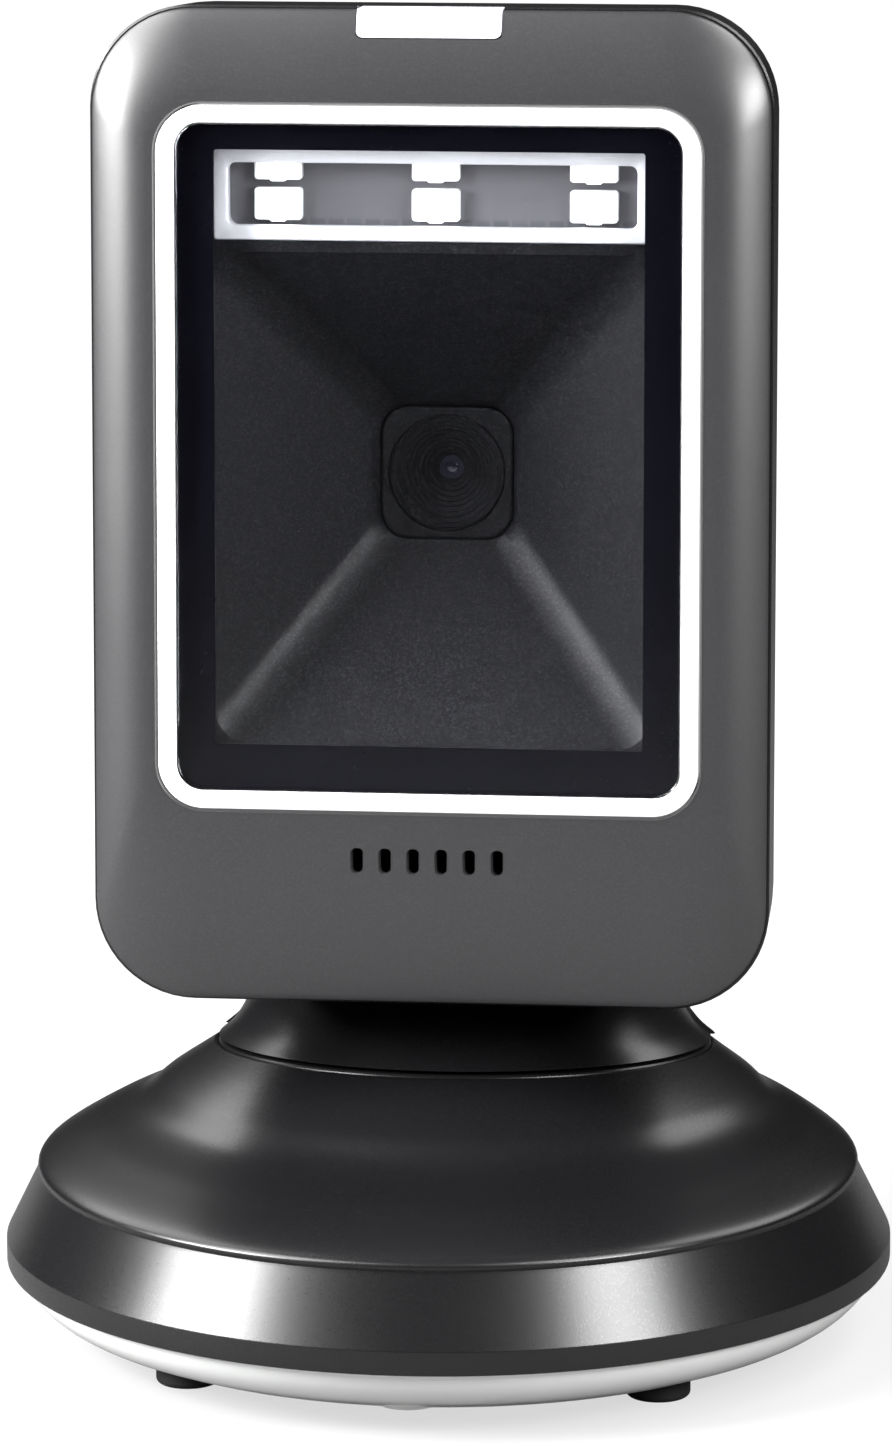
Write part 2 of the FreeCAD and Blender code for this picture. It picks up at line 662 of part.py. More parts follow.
def make_housing():
    outer = housing_body(0, parting_depth, 0)
    inner = housing_body(head_wall, parting_depth - 0.1, head_wall)
    shell = outer.cut(inner)
    shell = shell.fuse(neck_pocket(head_wall).common(housing_body(head_wall * 0.5, parting_depth, head_wall * 0.5)))
    tongue = frame(head_width - 2 * (bezel_inset + head_wall + tongue_gap),
                   head_height - 2 * (bezel_inset + head_wall + tongue_gap),
                   head_corner - head_wall, tongue_wall,
                   parting_depth - tongue_length, parting_depth + 2, -outline_drop)
    root = frame(head_width - 1.2, head_height - 1.2, head_corner - 0.6, head_wall + 1.0,
                 parting_depth + 0.8, parting_depth + 2, -outline_drop)
    shell = shell.fuse([tongue, root])
    solid_cheek = housing_body(head_wall * 0.5, parting_depth, head_wall * 0.5)
    for side in (-1, 1):
        start = side * (neck_waist + cheek_gap + 0.2)
        boss = cross_rod(hinge_boss_radius, start, side * (shaft_half_length + 1.0), hinge_in_head)
        shell = shell.fuse(boss.common(solid_cheek))
    for x, z in post_places():
        post = rod(head_post_radius + 0.8, Vector(x, post_meet, z), Vector(x, head_depth, z))
        shell = shell.fuse(post.common(solid_cheek))
    shell = shell.cut(neck_pocket(0))
    for x, z in post_places():
        shell = shell.cut(rod(screw_radius + 0.2, Vector(x, 0, z), Vector(x, head_depth, z)))
        seat = Vector(x, post_seat, z)
        shell = shell.cut(rod(screw_head_radius + 0.2, seat, Vector(x, head_depth + 5, z)))
        shell = shell.cut(rod(head_post_radius + fit_gap, Vector(x, 0, z), Vector(x, post_meet, z)))
    bore = cross_rod(shaft_radius + shaft_clearance, -shaft_half_length - 0.3, shaft_half_length + 0.3, hinge_in_head)
    return shell.cut(bore).cut(status_block(fit_gap))


def make_head_screws():
    screws = []
    for x, z in post_places():
        screws.append(screw(Vector(x, post_seat, z), Vector(0, -1, 0), 8.6))
    return group(screws)


# --- window ---------------------------------------------------------------------------------------
def make_ring():
    outer = plate(ring_width, ring_height, ring_corner, -ring_proud, ring_depth)
    inner_w = ring_width - 2 * ring_band
    inner_h = ring_height - 2 * ring_band
    return outer.cut(plate(inner_w, inner_h, ring_inner_corner, -1, ring_depth))


def glass_size():
    return ring_width - 2 * ring_band - 2 * fit_gap, ring_height - 2 * ring_band - 2 * fit_gap


def make_window():
    width, height = glass_size()
    return plate(width, height, ring_inner_corner - fit_gap, glass_inset, glass_inset + glass_thickness)


def make_mask():
    width, height = glass_size()
    near = glass_inset + glass_thickness
    sheet = plate(width, height, ring_inner_corner - fit_gap, near, near + mask_thickness)
    return sheet.cut(plate(clear_width, clear_height, 0.3, near - 1, near + 1, clear_rise))


def ring_board_inner():
    return ring_width - 2 * ring_board_band, ring_height - 2 * ring_board_band


def make_ring_board():
    return frame(ring_width - fit_gap, ring_height - fit_gap, ring_corner, ring_board_band,
                 ring_depth, ring_depth + ring_board_thickness)


def make_gasket():
    inner_w, inner_h = ring_board_inner()
    near = glass_inset + glass_thickness + mask_thickness
    far = ring_depth + ring_board_thickness
    corner = max(ring_corner - ring_board_band, 0.4)
    pad = plate(inner_w - 2 * fit_gap, inner_h - 2 * fit_gap, corner, near, far)
    return pad.cut(plate(clear_width + 0.8, clear_height + 0.8, 0.4, near - 1, far + 1, clear_rise))


# --- optics ---------------------------------------------------------------------------------------
def make_lamp_frame():
    half = clear_width / 2 + 0.5
    lamps_far = lamp_board_depth
    block = box(-half, half, bay_depth, lamps_far, bay_bottom, bay_top)
    cut_half = bay_cut_width / 2
    mouth = plate(bay_cut_width, bay_cut_height, 0.8, bay_depth - 1, lamps_far + 1, bay_cut_z)
    chamber = box(-cut_half - 0.4, cut_half + 0.4, bay_depth + bay_frame_thickness, lamps_far + 1,
                  bay_bottom + 1.0, bay_top - 0.6)
    return block.cut(mouth).cut(chamber)


def make_lamp_board():
    half = clear_width / 2 + 0.5
    return box(-half, half, lamp_board_depth, lamp_board_depth + board_thickness, bay_bottom, bay_top + 2.0)


def lamp_places():
    columns = [(index - (lamp_columns - 1) / 2) * lamp_pitch for index in range(lamp_columns)]
    return [(x, row) for row in lamp_rows for x in columns]


def make_lamps():
    lamps = []
    for x, z in lamp_places():
        near = lamp_board_depth - lamp_thickness
        lamps.append(box(x - lamp_width / 2, x + lamp_width / 2, near, lamp_board_depth,
                         z - lamp_height / 2, z + lamp_height / 2))
    return group(lamps)


def well_solid(grow):
    half = clear_width / 2 + 0.4
    low = clear_rise - clear_height / 2 - 0.4
    high = bay_bottom - well_wall - 0.1
    mouth = outline(2 * (half + grow), high - low + 2 * grow, 0.3 + grow, bay_depth, (high + low) / 2)
    throat_size = block_width + 0.4 + 2 * grow
    throat = outline(throat_size, throat_size, block_corner + grow, block_depth, lens_z)
    return loft([mouth, throat], True)


def make_well():
    outer = well_solid(well_wall)
    inner_near = plate(clear_width + 0.8, clear_height, 0.3, bay_depth - 1, bay_depth, clear_rise)
    walls = outer.cut(well_solid(0))
    socket = plate(block_width + 0.4 + 2 * well_wall, block_width + 0.4 + 2 * well_wall,
                   block_corner + well_wall, block_depth - 0.01, block_depth + 4.0, lens_z)
    hole = plate(block_width + 0.2, block_width + 0.2, block_corner, block_depth - 1, block_depth + 5, lens_z)
    socket = socket.cut(hole)
    return walls.fuse(socket).cut(inner_near)


def make_lens_block():
    far = block_depth + block_length
    block = plate(block_width, block_width, block_corner, block_depth, far, lens_z)
    step_length = cone_length / cone_steps
    for index in range(cone_steps):
        radius = cone_radius + (cone_end_radius - cone_radius) * index / (cone_steps - 1)
        near = block_depth + index * step_length
        block = block.cut(rod(radius, Vector(0, near - 0.001, lens_z), Vector(0, near + step_length, lens_z)))
    lens_end = block_depth + cone_length + lens_thickness
    block = block.cut(rod(lens_radius, Vector(0, block_depth, lens_z), Vector(0, lens_end, lens_z)))
    return block.cut(rod(lens_radius - 0.4, Vector(0, block_depth, lens_z), Vector(0, far, lens_z)).fuse(
        box(-sensor_size / 2 - 0.2, sensor_size / 2 + 0.2, far - sensor_thickness - 0.2, far,
            lens_z - sensor_size / 2 - 0.2, lens_z + sensor_size / 2 + 0.2)))


def make_lens():
    near = block_depth + cone_length
    return rod(lens_radius, Vector(0, near, lens_z), Vector(0, near + lens_thickness, lens_z))


def sensor_board_near():
    return block_depth + block_length


def make_sensor_board():
    near = sensor_board_near()
    half = sensor_board_size / 2
    board = box(-half, half, near, near + board_thickness, lens_z - half, lens_z + half)
    for place in sensor_screw_places():
        board = board.cut(rod(0.85, place - Vector(0, board_thickness, 0), place))
    return board


def sensor_screw_places():
    far = sensor_board_near() + board_thickness
    return [Vector(side * 10.4, far, lens_z + 9.6) for side in (-1, 1)]


def make_sensor():
    near = sensor_board_near()
    half = sensor_size / 2
    return box(-half, half, near - sensor_thickness, near, lens_z - half, lens_z + half)


def make_sensor_screws():
    screws = []
    for place in sensor_screw_places():
        shank = rod(0.8, place - Vector(0, board_thickness + 2.2, 0), place)
        screws.append(rod(1.7, place, place + Vector(0, 1.1, 0)).fuse(shank))
    return group(screws)


def main_board_places():
    half = main_board_width / 2 - 3.0
    return [(side * half, z) for side in (-1, 1) for z in (main_board_bottom + 3.0, main_board_top - 3.0)]


def make_main_board():
    half = main_board_width / 2
    far = main_board_depth + main_board_thickness
    board = box(-half, half, main_board_depth, far, main_board_bottom, main_board_top)
    for x, z in main_board_places():
        board = board.cut(rod(screw_radius + 0.15, Vector(x, 0, z), Vector(x, head_depth, z)))
    return board


def make_main_chips():
    near = main_board_depth - chip_thickness
    chips = []
    for x, z, width, height in main_chips:
        chips.append(box(x - width / 2, x + width / 2, near, main_board_depth, z - height / 2, z + height / 2))
    return group(chips)


def make_board_screws():
    screws = []
    for x, z in main_board_places():
        screws.append(screw(Vector(x, main_board_depth, z), Vector(0, 1, 0), main_board_thickness + 3.0))
    return group(screws)


def board_standoffs():
    """Posts on the housing's back wall, with the holes that the board's screws bite into."""
    posts = []
    holes = []
    near = main_board_depth + main_board_thickness
    for x, z in main_board_places():
        post = rod(2.5, Vector(x, near, z), Vector(x, head_depth, z))
        posts.append(post.common(housing_body(head_wall * 0.5, parting_depth, head_wall * 0.5)))
        holes.append(rod(screw_radius + bite_gap, Vector(x, near, z), Vector(x, near + 3.4, z)))
    return posts, holes


def make_flex():
    """Flat flexible cable from the sensor board's lower edge back to the main board."""
    half = flex_width / 2
    near = sensor_board_near() + board_thickness
    drop = lens_z - sensor_board_size / 2 + 3.0
    upper = box(-half, half, near, near + flex_thickness, drop - 4.0, drop + 2.0)
    across = box(-half, half, near, main_board_depth, drop - 4.0 - flex_thickness, drop - 4.0)
    lower = box(-half, half, main_board_depth - flex_thickness, main_board_depth, drop - 8.0, drop - 4.0)
    return upper.fuse([across, lower]).removeSplitter()


# --- buzzer and status light ----------------------------------------------------------------------
def make_buzzer():
    can = rod(buzzer_radius, Vector(0, buzzer_near, buzzer_z), Vector(0, buzzer_near + buzzer_thickness, buzzer_z))
    return can.cut(rod(1.0, Vector(0, buzzer_near, buzzer_z), Vector(0, buzzer_near + 1.0, buzzer_z)))


def make_status_light():
    outer = face_body(status_proud, -status_proud, status_far)
    inner = face_body(-status_wall, status_wall, status_far + status_wall + 1)
    return outer.cut(inner).common(status_block(0))


def make_status_board():
    half = status_board_width / 2
    near = status_far + 2.2
    middle = head_height / 2 - outline_drop - head_wall - status_board_height / 2 - 1.4
    return box(-half, half, near, near + 1.0, middle - status_board_height / 2, middle + status_board_height / 2)


def make_status_leds():
    near = status_far + 2.2
    middle = head_height / 2 - outline_drop - head_wall - status_board_height / 2 - 0.4
    leds = []
    for side in (-1, 1):
        leds.append(box(side * 4 - 0.8, side * 4 + 0.8, near - 0.8, near, middle - 0.4, middle + 0.4))
    return group(leds)


# --- write every node -----------------------------------------------------------------------------
front_cover, rear_cover = make_neck_covers()
for screw_place in neck_screw_places():
    rear_cover = rear_seat(screw_place, rear_cover)

housing = make_housing()
standoffs, standoff_holes = board_standoffs()
housing = housing.fuse(standoffs).cut(group(standoff_holes))

base_screws = []
for foot_place in base_screw_places(foot_height + screw_head_height + 0.3):
    base_screws.append(screw(foot_place, Vector(0, 0, 1), 9.0))

nodes = {
    "base_cover": make_base_cover(),
    "base_tray": make_base_tray(),
    "rubber_feet": make_feet(),
    "ballast_plate": make_ballast(),
    "base_screws": group(base_screws),
    "cable_jack": make_jack(),
    "jack_contacts": make_jack_contacts(),
    "jack_board": make_jack_board(),
    "neck_front_cover": in_neck(front_cover),
    "neck_rear_cover": in_neck(rear_cover),
    "neck_spine": in_neck(make_spine()),
    "neck_screws": in_neck(make_neck_screws()),
    "neck_harness": in_neck(make_harness()),
    "swivel_washer": in_neck(make_swivel_washer()),
    "swivel_retainer": in_neck(make_retainer()),
    "retainer_screws": in_neck(make_retainer_screws()),
    "hinge_shaft": make_shaft(),
    "hinge_washers": make_hinge_washers(),
    "front_bezel": in_head(make_bezel()),
    "rear_housing": in_head(housing),
    "head_screws": in_head(make_head_screws()),
    "light_ring": in_head(make_ring()),
    "ring_light_board": in_head(make_ring_board()),
    "scan_window": in_head(make_window()),
    "window_mask": in_head(make_mask()),
    "window_gasket": in_head(make_gasket()),
    "lamp_frame": in_head(make_lamp_frame()),
    "lamp_board": in_head(make_lamp_board()),
    "lamps": in_head(make_lamps()),
    "light_well": in_head(make_well()),
    "lens_block": in_head(make_lens_block()),
    "lens": in_head(make_lens()),
    "image_sensor": in_head(make_sensor()),
    "sensor_board": in_head(make_sensor_board()),
    "sensor_screws": in_head(make_sensor_screws()),
    "sensor_flex": in_head(make_flex()),
    "main_board": in_head(make_main_board()),
    "main_board_chips": in_head(make_main_chips()),
    "board_screws": in_head(make_board_screws()),
    "buzzer": in_head(make_buzzer()),
    "status_light": in_head(make_status_light()),
    "status_board": in_head(make_status_board()),
    "status_leds": in_head(make_status_leds()),
}

for node, shape in nodes.items():
    save(node, shape)
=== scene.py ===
"""Hands-free desktop scanner: the finished surfaces of every shown piece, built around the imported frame."""
import logging
import math
from dataclasses import dataclass, field
from enum import Enum

import bmesh
import bpy
from mathutils import Matrix, Vector


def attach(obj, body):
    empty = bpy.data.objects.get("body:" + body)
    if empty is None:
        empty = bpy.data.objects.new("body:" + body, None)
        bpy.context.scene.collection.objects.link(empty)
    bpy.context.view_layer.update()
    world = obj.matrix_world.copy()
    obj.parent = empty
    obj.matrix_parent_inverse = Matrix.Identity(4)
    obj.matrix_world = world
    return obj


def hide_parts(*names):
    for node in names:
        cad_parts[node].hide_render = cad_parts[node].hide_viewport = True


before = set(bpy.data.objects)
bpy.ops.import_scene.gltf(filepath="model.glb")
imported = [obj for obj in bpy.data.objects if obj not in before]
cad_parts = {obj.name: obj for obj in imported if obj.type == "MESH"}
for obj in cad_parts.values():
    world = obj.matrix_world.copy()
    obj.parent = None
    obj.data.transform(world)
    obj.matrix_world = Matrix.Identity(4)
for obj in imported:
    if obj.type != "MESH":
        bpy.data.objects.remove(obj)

LOG = logging.getLogger("scanner")
MM = 0.001
SEAT_RADIUS = 2.5
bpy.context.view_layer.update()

Ring = list[Vector]
Colour = tuple[float, float, float]


class Body(Enum):
    """The moving bodies that a piece can ride on."""

    BASE = "base"
    NECK = "neck"
    HEAD = "head"


class Ends(Enum):
    """How a skin over rings is closed."""

    CAPPED = "a flat face at each end"
    LOOPED = "the last ring joins the first"
    OPEN = "both ends stay open"


class Carve(Enum):
    """How one solid works on another."""

    CUT = "DIFFERENCE"
    JOIN = "UNION"
    KEEP = "INTERSECT"


# --- shape tools ------------------------------------------------------------------------------------
def blend_number(start: float, end: float, share: float) -> float:
    """Return the value at a share of the way from start to end."""
    return start + (end - start) * share


def through(stations: list[tuple[float, ...]], steps: int) -> list[tuple[float, ...]]:
    """Run a smooth curve through stations.

    Args:
        stations: Rows of numbers that the curve passes through.
        steps: Rows to give for each gap between two stations.

    Returns:
        The rows along the curve, both ends included.
    """
    padded = [stations[0]] + stations + [stations[-1]]
    rows = []
    for gap in range(len(stations) - 1):
        a, b, c, d = padded[gap:gap + 4]
        for step in range(steps):
            t = step / steps
            rows.append(tuple(0.5 * (2 * q + (r - p) * t + (2 * p - 5 * q + 4 * r - s) * t ** 2
                                     + (3 * q - p - 3 * r + s) * t ** 3)
                              for p, q, r, s in zip(a, b, c, d)))
    rows.append(stations[-1])
    return rows


def rounded_path(points: list[tuple[float, float]], radii: list[float],
                 steps: int = 4) -> list[tuple[float, float]]:
    """Round the inner corners of a path in a plane.

    Args:
        points: The path's corners.
        radii: One radius for each corner between the two ends.
        steps: Short runs in each rounded corner.

    Returns:
        The rounded path, with both ends as they were.
    """
    path = [points[0]]
    for index, radius in enumerate(radii):
        before, corner, after = (Vector(p) for p in points[index:index + 3])
        back = (before - corner).normalized()
        ahead = (after - corner).normalized()
        half = back.angle(ahead) / 2
        if radius <= 0 or half > math.radians(89):
            path.append(tuple(corner))
            continue
        reach = radius / math.tan(half)
        start, end = corner + back * reach, corner + ahead * reach
        centre = corner + (back + ahead).normalized() * (radius / math.sin(half))
        for step in range(steps + 1):
            spoke = (start - centre).lerp(end - centre, step / steps).normalized() * radius
            path.append(tuple(centre + spoke))
    path.append(points[-1])
    return path


def rounded_ring(width: float, height: float, corner: float, depth: float, middle: float = 0.0,
                 arc: int = 10, side: int = 10) -> Ring:
    """Make a rounded rectangle that faces the front.

    Args:
        width: Size across.
        height: Size up and down.
        corner: Corner radius.
        depth: Distance behind the face.
        middle: Height of the rectangle's middle.
        arc: Steps in each corner.
        side: Steps along each side.

    Returns:
        The ring's points, the same number for every size.
    """
    half_w, half_h = width / 2, height / 2
    corner = max(corner, 0.02)
    corners = []
    for turn, sx, sz in ((0, 1, 1), (90, -1, 1), (180, -1, -1), (270, 1, -1)):
        centre = Vector((sx * (half_w - corner), depth, middle + sz * (half_h - corner)))
        spokes = [math.radians(turn + 90 * step / arc) for step in range(arc + 1)]
        corners.append([centre + Vector((corner * math.cos(a), 0, corner * math.sin(a))) for a in spokes])
    ring = []
    for index, points in enumerate(corners):
        following = corners[(index + 1) % 4][0]
        ring += points
        ring += [points[-1].lerp(following, step / side) for step in range(1, side)]
    return ring


def round_ring_like(ring: Ring, radius: float, depth: float, middle: float) -> Ring:
    """Return a circle whose points stand at the same angles as another ring's points."""
    spokes = [Vector((p.x, 0, p.z - middle)).normalized() * radius for p in ring]
    return [Vector((s.x, depth, s.z + middle)) for s in spokes]


def oval_ring(half_x: float, half_y: float, height: float, shift: float = 0.0, count: int = 128) -> Ring:
    """Return a level oval ring whose middle is moved back by shift."""
    turns = [2 * math.pi * index / count for index in range(count)]
    return [Vector((half_x * math.cos(a), shift + half_y * math.sin(a), height)) for a in turns]


def cross_ring(radius: float, x: float, y: float, z: float, count: int = 96) -> Ring:
    """Return a circle about a line that runs from side to side."""
    turns = [2 * math.pi * index / count for index in range(count)]
    return [Vector((x, y + radius * math.cos(a), z + radius * math.sin(a))) for a in turns]


def into_mesh(name: str, bm: bmesh.types.BMesh, place: Matrix) -> bpy.types.Object:
    """Turn built geometry, in millimetres, into an object in metres.

    Args:
        name: The piece's name.
        bm: The geometry, which is used up.
        place: Where its own frame stands.

    Returns:
        The new object.
    """
    bmesh.ops.recalc_face_normals(bm, faces=bm.faces)
    bm.transform(Matrix.Scale(MM, 4) @ place)
    mesh = bpy.data.meshes.new(name)
    bm.to_mesh(mesh)
    bm.free()
    piece = bpy.data.objects.new(name, mesh)
    bpy.context.scene.collection.objects.link(piece)
    return piece


def add_skin(bm: bmesh.types.BMesh, rings: list[Ring], ends: Ends) -> None:
    """Skin over rings that all have the same number of points."""
    rows = [[bm.verts.new(point) for point in ring] for ring in rings]
    pairs = list(zip(rows, rows[1:]))
    if ends is Ends.LOOPED:
        pairs.append((rows[-1], rows[0]))
    for low, high in pairs:
        for index in range(len(low)):
            after = (index + 1) % len(low)
            bm.faces.new((low[index], low[after], high[after], high[index]))
    if ends is Ends.CAPPED:
        bm.faces.new(rows[0][::-1])
        bm.faces.new(rows[-1])


def skin(name: str, rings: list[Ring], ends: Ends, place: Matrix = Matrix()) -> bpy.types.Object:
    """Return one solid made by skinning over rings."""
    bm = bmesh.new()
    add_skin(bm, rings, ends)
    return into_mesh(name, bm, place)


def skins(name: str, sets: list[list[Ring]], ends: Ends, place: Matrix = Matrix()) -> bpy.types.Object:
    """Return one object that holds several separate solids."""
    bm = bmesh.new()
    for rings in sets:
        add_skin(bm, rings, ends)
    return into_mesh(name, bm, place)


def screw_tool(name: str, x: float, z: float, span: tuple[float, float], place: Matrix) -> bpy.types.Object:
    """Return the round room for a sunk screw head as a solid.

    Args:
        name: The solid's name.
        x: Place across.
        z: Place up and down.
        span: Depths where the room starts and ends.
        place: Where its own frame stands.

    Returns:
        The solid.
    """
    turns = [2 * math.pi * i / 48 for i in range(48)]
    rings = [[Vector((x + SEAT_RADIUS * math.cos(a), y, z + SEAT_RADIUS * math.sin(a))) for a in turns]
             for y in span]
    return skin(name, rings, Ends.CAPPED, place)


def block(name: str, low: Colour, high: Colour, place: Matrix = Matrix()) -> bpy.types.Object:
    """Return a plain block between two corners, used only to carve other pieces."""
    x0, y0, z0 = low
    x1, y1, z1 = high
    rings = [[Vector((x0, y0, z)), Vector((x1, y0, z)), Vector((x1, y1, z)), Vector((x0, y1, z))]
             for z in (z0, z1)]
    return skin(name, rings, Ends.CAPPED, place)


def carve(piece: bpy.types.Object, tool: bpy.types.Object, how: Carve) -> bpy.types.Object:
    """Work on a piece with a tool, which is used up.

    Args:
        piece: The piece to change.
        tool: The solid that it is cut by, joined to or kept within.
        how: The way the two go together.

    Returns:
        The changed piece.
    """
    modifier = piece.modifiers.new("carve", "BOOLEAN")
    modifier.operation = how.value
    modifier.solver = "EXACT"
    modifier.object = tool
    bpy.context.view_layer.update()
    evaluated = piece.evaluated_get(bpy.context.evaluated_depsgraph_get())
    worked = bpy.data.meshes.new_from_object(evaluated)
    piece.modifiers.clear()
    piece.data = worked
    bpy.data.objects.remove(tool)
    return piece


def smooth(piece: bpy.types.Object, crease: float = 32.0) -> None:
    """Shade a piece smoothly, except over edges that turn by more than crease degrees."""
    piece.data.shade_smooth()
    piece.data.set_sharp_from_angle(angle=math.radians(crease))


def soften(piece: bpy.types.Object, width: float, limit: float = 40.0) -> None:
    """Give a piece's sharp edges a small round of width millimetres."""
    bevel = piece.modifiers.new("soft_edges", "BEVEL")
    bevel.width = width * MM
    bevel.segments = 2
    bevel.limit_method = "ANGLE"
    bevel.angle_limit = math.radians(limit)
    bevel.harden_normals = True


# --- effects shared by the finishes -----------------------------------------------------------------
class Effects:
    """Shader node groups that several finishes use."""

    def __init__(self) -> None:
        """Build each group once."""
        self.fine_grain = self._fine_grain()
        self.metal_flecks = self._metal_flecks()
        self.handling_film = self._handling_film()
        self.brushed_lines = self._brushed_lines()

    @staticmethod
    def _group(name: str, inputs: dict[str, object], outputs: dict[str, str]) -> tuple:
        """Make an empty group.

        Args:
            name: The group's name.
            inputs: Each input's name and default value; a tuple of four is a colour.
            outputs: Each output's name and socket type.

        Returns:
            The tree, its input node and its output node.
        """
        tree = bpy.data.node_groups.new(name, "ShaderNodeTree")
        for label, value in inputs.items():
            kind = "NodeSocketColor" if isinstance(value, tuple) else "NodeSocketFloat"
            socket = tree.interface.new_socket(name=label, in_out="INPUT", socket_type=kind)
            socket.default_value = value
        for label, kind in outputs.items():
            tree.interface.new_socket(name=label, in_out="OUTPUT", socket_type=kind)
        return tree, tree.nodes.new("NodeGroupInput"), tree.nodes.new("NodeGroupOutput")

    @staticmethod
    def _noise(tree: bpy.types.NodeTree, scale: bpy.types.NodeSocket | float, detail: float) -> bpy.types.Node:
        """Add a noise texture on the object's own coordinates."""
        where = tree.nodes.new("ShaderNodeTexCoord")
        noise = tree.nodes.new("ShaderNodeTexNoise")
        noise.inputs["Detail"].default_value = detail
        tree.links.new(where.outputs["Object"], noise.inputs["Vector"])
        if isinstance(scale, float):
            noise.inputs["Scale"].default_value = scale
        else:
            tree.links.new(scale, noise.inputs["Scale"])
        return noise

    @staticmethod
    def _maths(tree: bpy.types.NodeTree, operation: str, *values: object) -> bpy.types.NodeSocket:
        """Add one maths step on sockets or numbers and return its result."""
        step = tree.nodes.new("ShaderNodeMath")
        step.operation = operation
        for socket, value in zip(step.inputs, values):
            if isinstance(value, (int, float)):
                socket.default_value = value
            else:
                tree.links.new(value, socket)
        return step.outputs[0]

    def _fine_grain(self) -> bpy.types.NodeTree:
        """Grain of a textured mould: a height, and a roughness that varies with it."""
        tree, given, result = self._group(
            "fine_grain", {"Scale": 5000.0, "Roughness": 0.4, "Spread": 0.1},
            {"Height": "NodeSocketFloat", "Roughness": "NodeSocketFloat"})
        noise = self._noise(tree, given.outputs["Scale"], 2.0)
        centred = self._maths(tree, "SUBTRACT", noise.outputs["Fac"], 0.5)
        varied = self._maths(tree, "MULTIPLY_ADD", centred, given.outputs["Spread"], given.outputs["Roughness"])
        tree.links.new(noise.outputs["Fac"], result.inputs["Height"])
        tree.links.new(varied, result.inputs["Roughness"])
        return tree

    def _metal_flecks(self) -> bpy.types.NodeTree:
        """Tiny bright flakes scattered in a paint or a plastic."""
        tree, given, result = self._group(
            "metal_flecks", {"Scale": 6000.0, "Amount": 0.1, "Colour": (0.05, 0.05, 0.05, 1.0),
                             "Fleck Colour": (0.3, 0.3, 0.32, 1.0)},
            {"Colour": "NodeSocketColor"})
        where = tree.nodes.new("ShaderNodeTexCoord")
        cells = tree.nodes.new("ShaderNodeTexVoronoi")
        tree.links.new(where.outputs["Object"], cells.inputs["Vector"])
        tree.links.new(given.outputs["Scale"], cells.inputs["Scale"])
        parts = tree.nodes.new("ShaderNodeSeparateColor")
        tree.links.new(cells.outputs["Color"], parts.inputs["Color"])
        mask = self._maths(tree, "MULTIPLY", self._maths(tree, "POWER", parts.outputs["Red"], 5.0),
                           given.outputs["Amount"])
        mix = tree.nodes.new("ShaderNodeMix")
        mix.data_type = "RGBA"
        tree.links.new(mask, mix.inputs["Factor"])
        tree.links.new(given.outputs["Colour"], mix.inputs["A"])
        tree.links.new(given.outputs["Fleck Colour"], mix.inputs["B"])
        tree.links.new(mix.outputs["Result"], result.inputs["Colour"])
        return tree

    def _handling_film(self) -> bpy.types.NodeTree:
        """Soft patches where hands and cloths have changed the gloss a little."""
        tree, given, result = self._group(
            "handling_film", {"Amount": 0.05, "Roughness": 0.4}, {"Roughness": "NodeSocketFloat"})
        noise = self._noise(tree, 60.0, 4.0)
        centred = self._maths(tree, "SUBTRACT", noise.outputs["Fac"], 0.5)
        varied = self._maths(tree, "MULTIPLY_ADD", centred, given.outputs["Amount"], given.outputs["Roughness"])
        tree.links.new(varied, result.inputs["Roughness"])
        return tree

    def _brushed_lines(self) -> bpy.types.NodeTree:
        """Fine lines left by a tool, across a metal part."""
        tree, given, result = self._group(
            "brushed_lines", {"Roughness": 0.3, "Spread": 0.1},
            {"Height": "NodeSocketFloat", "Roughness": "NodeSocketFloat"})
        where = tree.nodes.new("ShaderNodeTexCoord")
        stretch = tree.nodes.new("ShaderNodeMapping")
        stretch.inputs["Scale"].default_value = (300.0, 6000.0, 6000.0)
        noise = tree.nodes.new("ShaderNodeTexNoise")
        noise.inputs["Scale"].default_value = 1.0
        tree.links.new(where.outputs["Object"], stretch.inputs["Vector"])
        tree.links.new(stretch.outputs["Vector"], noise.inputs["Vector"])
        centred = self._maths(tree, "SUBTRACT", noise.outputs["Fac"], 0.5)
        varied = self._maths(tree, "MULTIPLY_ADD", centred, given.outputs["Spread"], given.outputs["Roughness"])
        tree.links.new(noise.outputs["Fac"], result.inputs["Height"])
        tree.links.new(varied, result.inputs["Roughness"])
        return tree


# --- finishes -------------------------------------------------------------------------------------------
class Bench:
    """One material in the making, with its surface shader and ways to add to it."""

    def __init__(self, name: str) -> None:
        """Start an empty material with one Principled surface."""
        self.material = bpy.data.materials.new(name)
        self.material.use_nodes = True
        self.tree = self.material.node_tree
        self.shader = self.tree.nodes["Principled BSDF"]

    def place(self, group: bpy.types.NodeTree, **values: object) -> bpy.types.Node:
        """Place an effect and set its inputs.

        Args:
            group: The effect's node group.
            **values: Values by input name, with underscores for spaces; a socket is linked.

        Returns:
            The placed node.
        """
        node = self.tree.nodes.new("ShaderNodeGroup")
        node.node_tree = group
        for label, value in values.items():
            socket = node.inputs[label.replace("_", " ")]
            if isinstance(value, bpy.types.NodeSocket):
                self.tree.links.new(value, socket)
            else:
                socket.default_value = value
        return node

    def bump(self, height: bpy.types.NodeSocket, depth: float) -> None:
        """Lead a height into the surface's normal, with a depth in millimetres."""
        bump = self.tree.nodes.new("ShaderNodeBump")
        bump.inputs["Strength"].default_value = 1.0
        bump.inputs["Distance"].default_value = depth * MM
        self.tree.links.new(height, bump.inputs["Height"])
        self.tree.links.new(bump.outputs["Normal"], self.shader.inputs["Normal"])


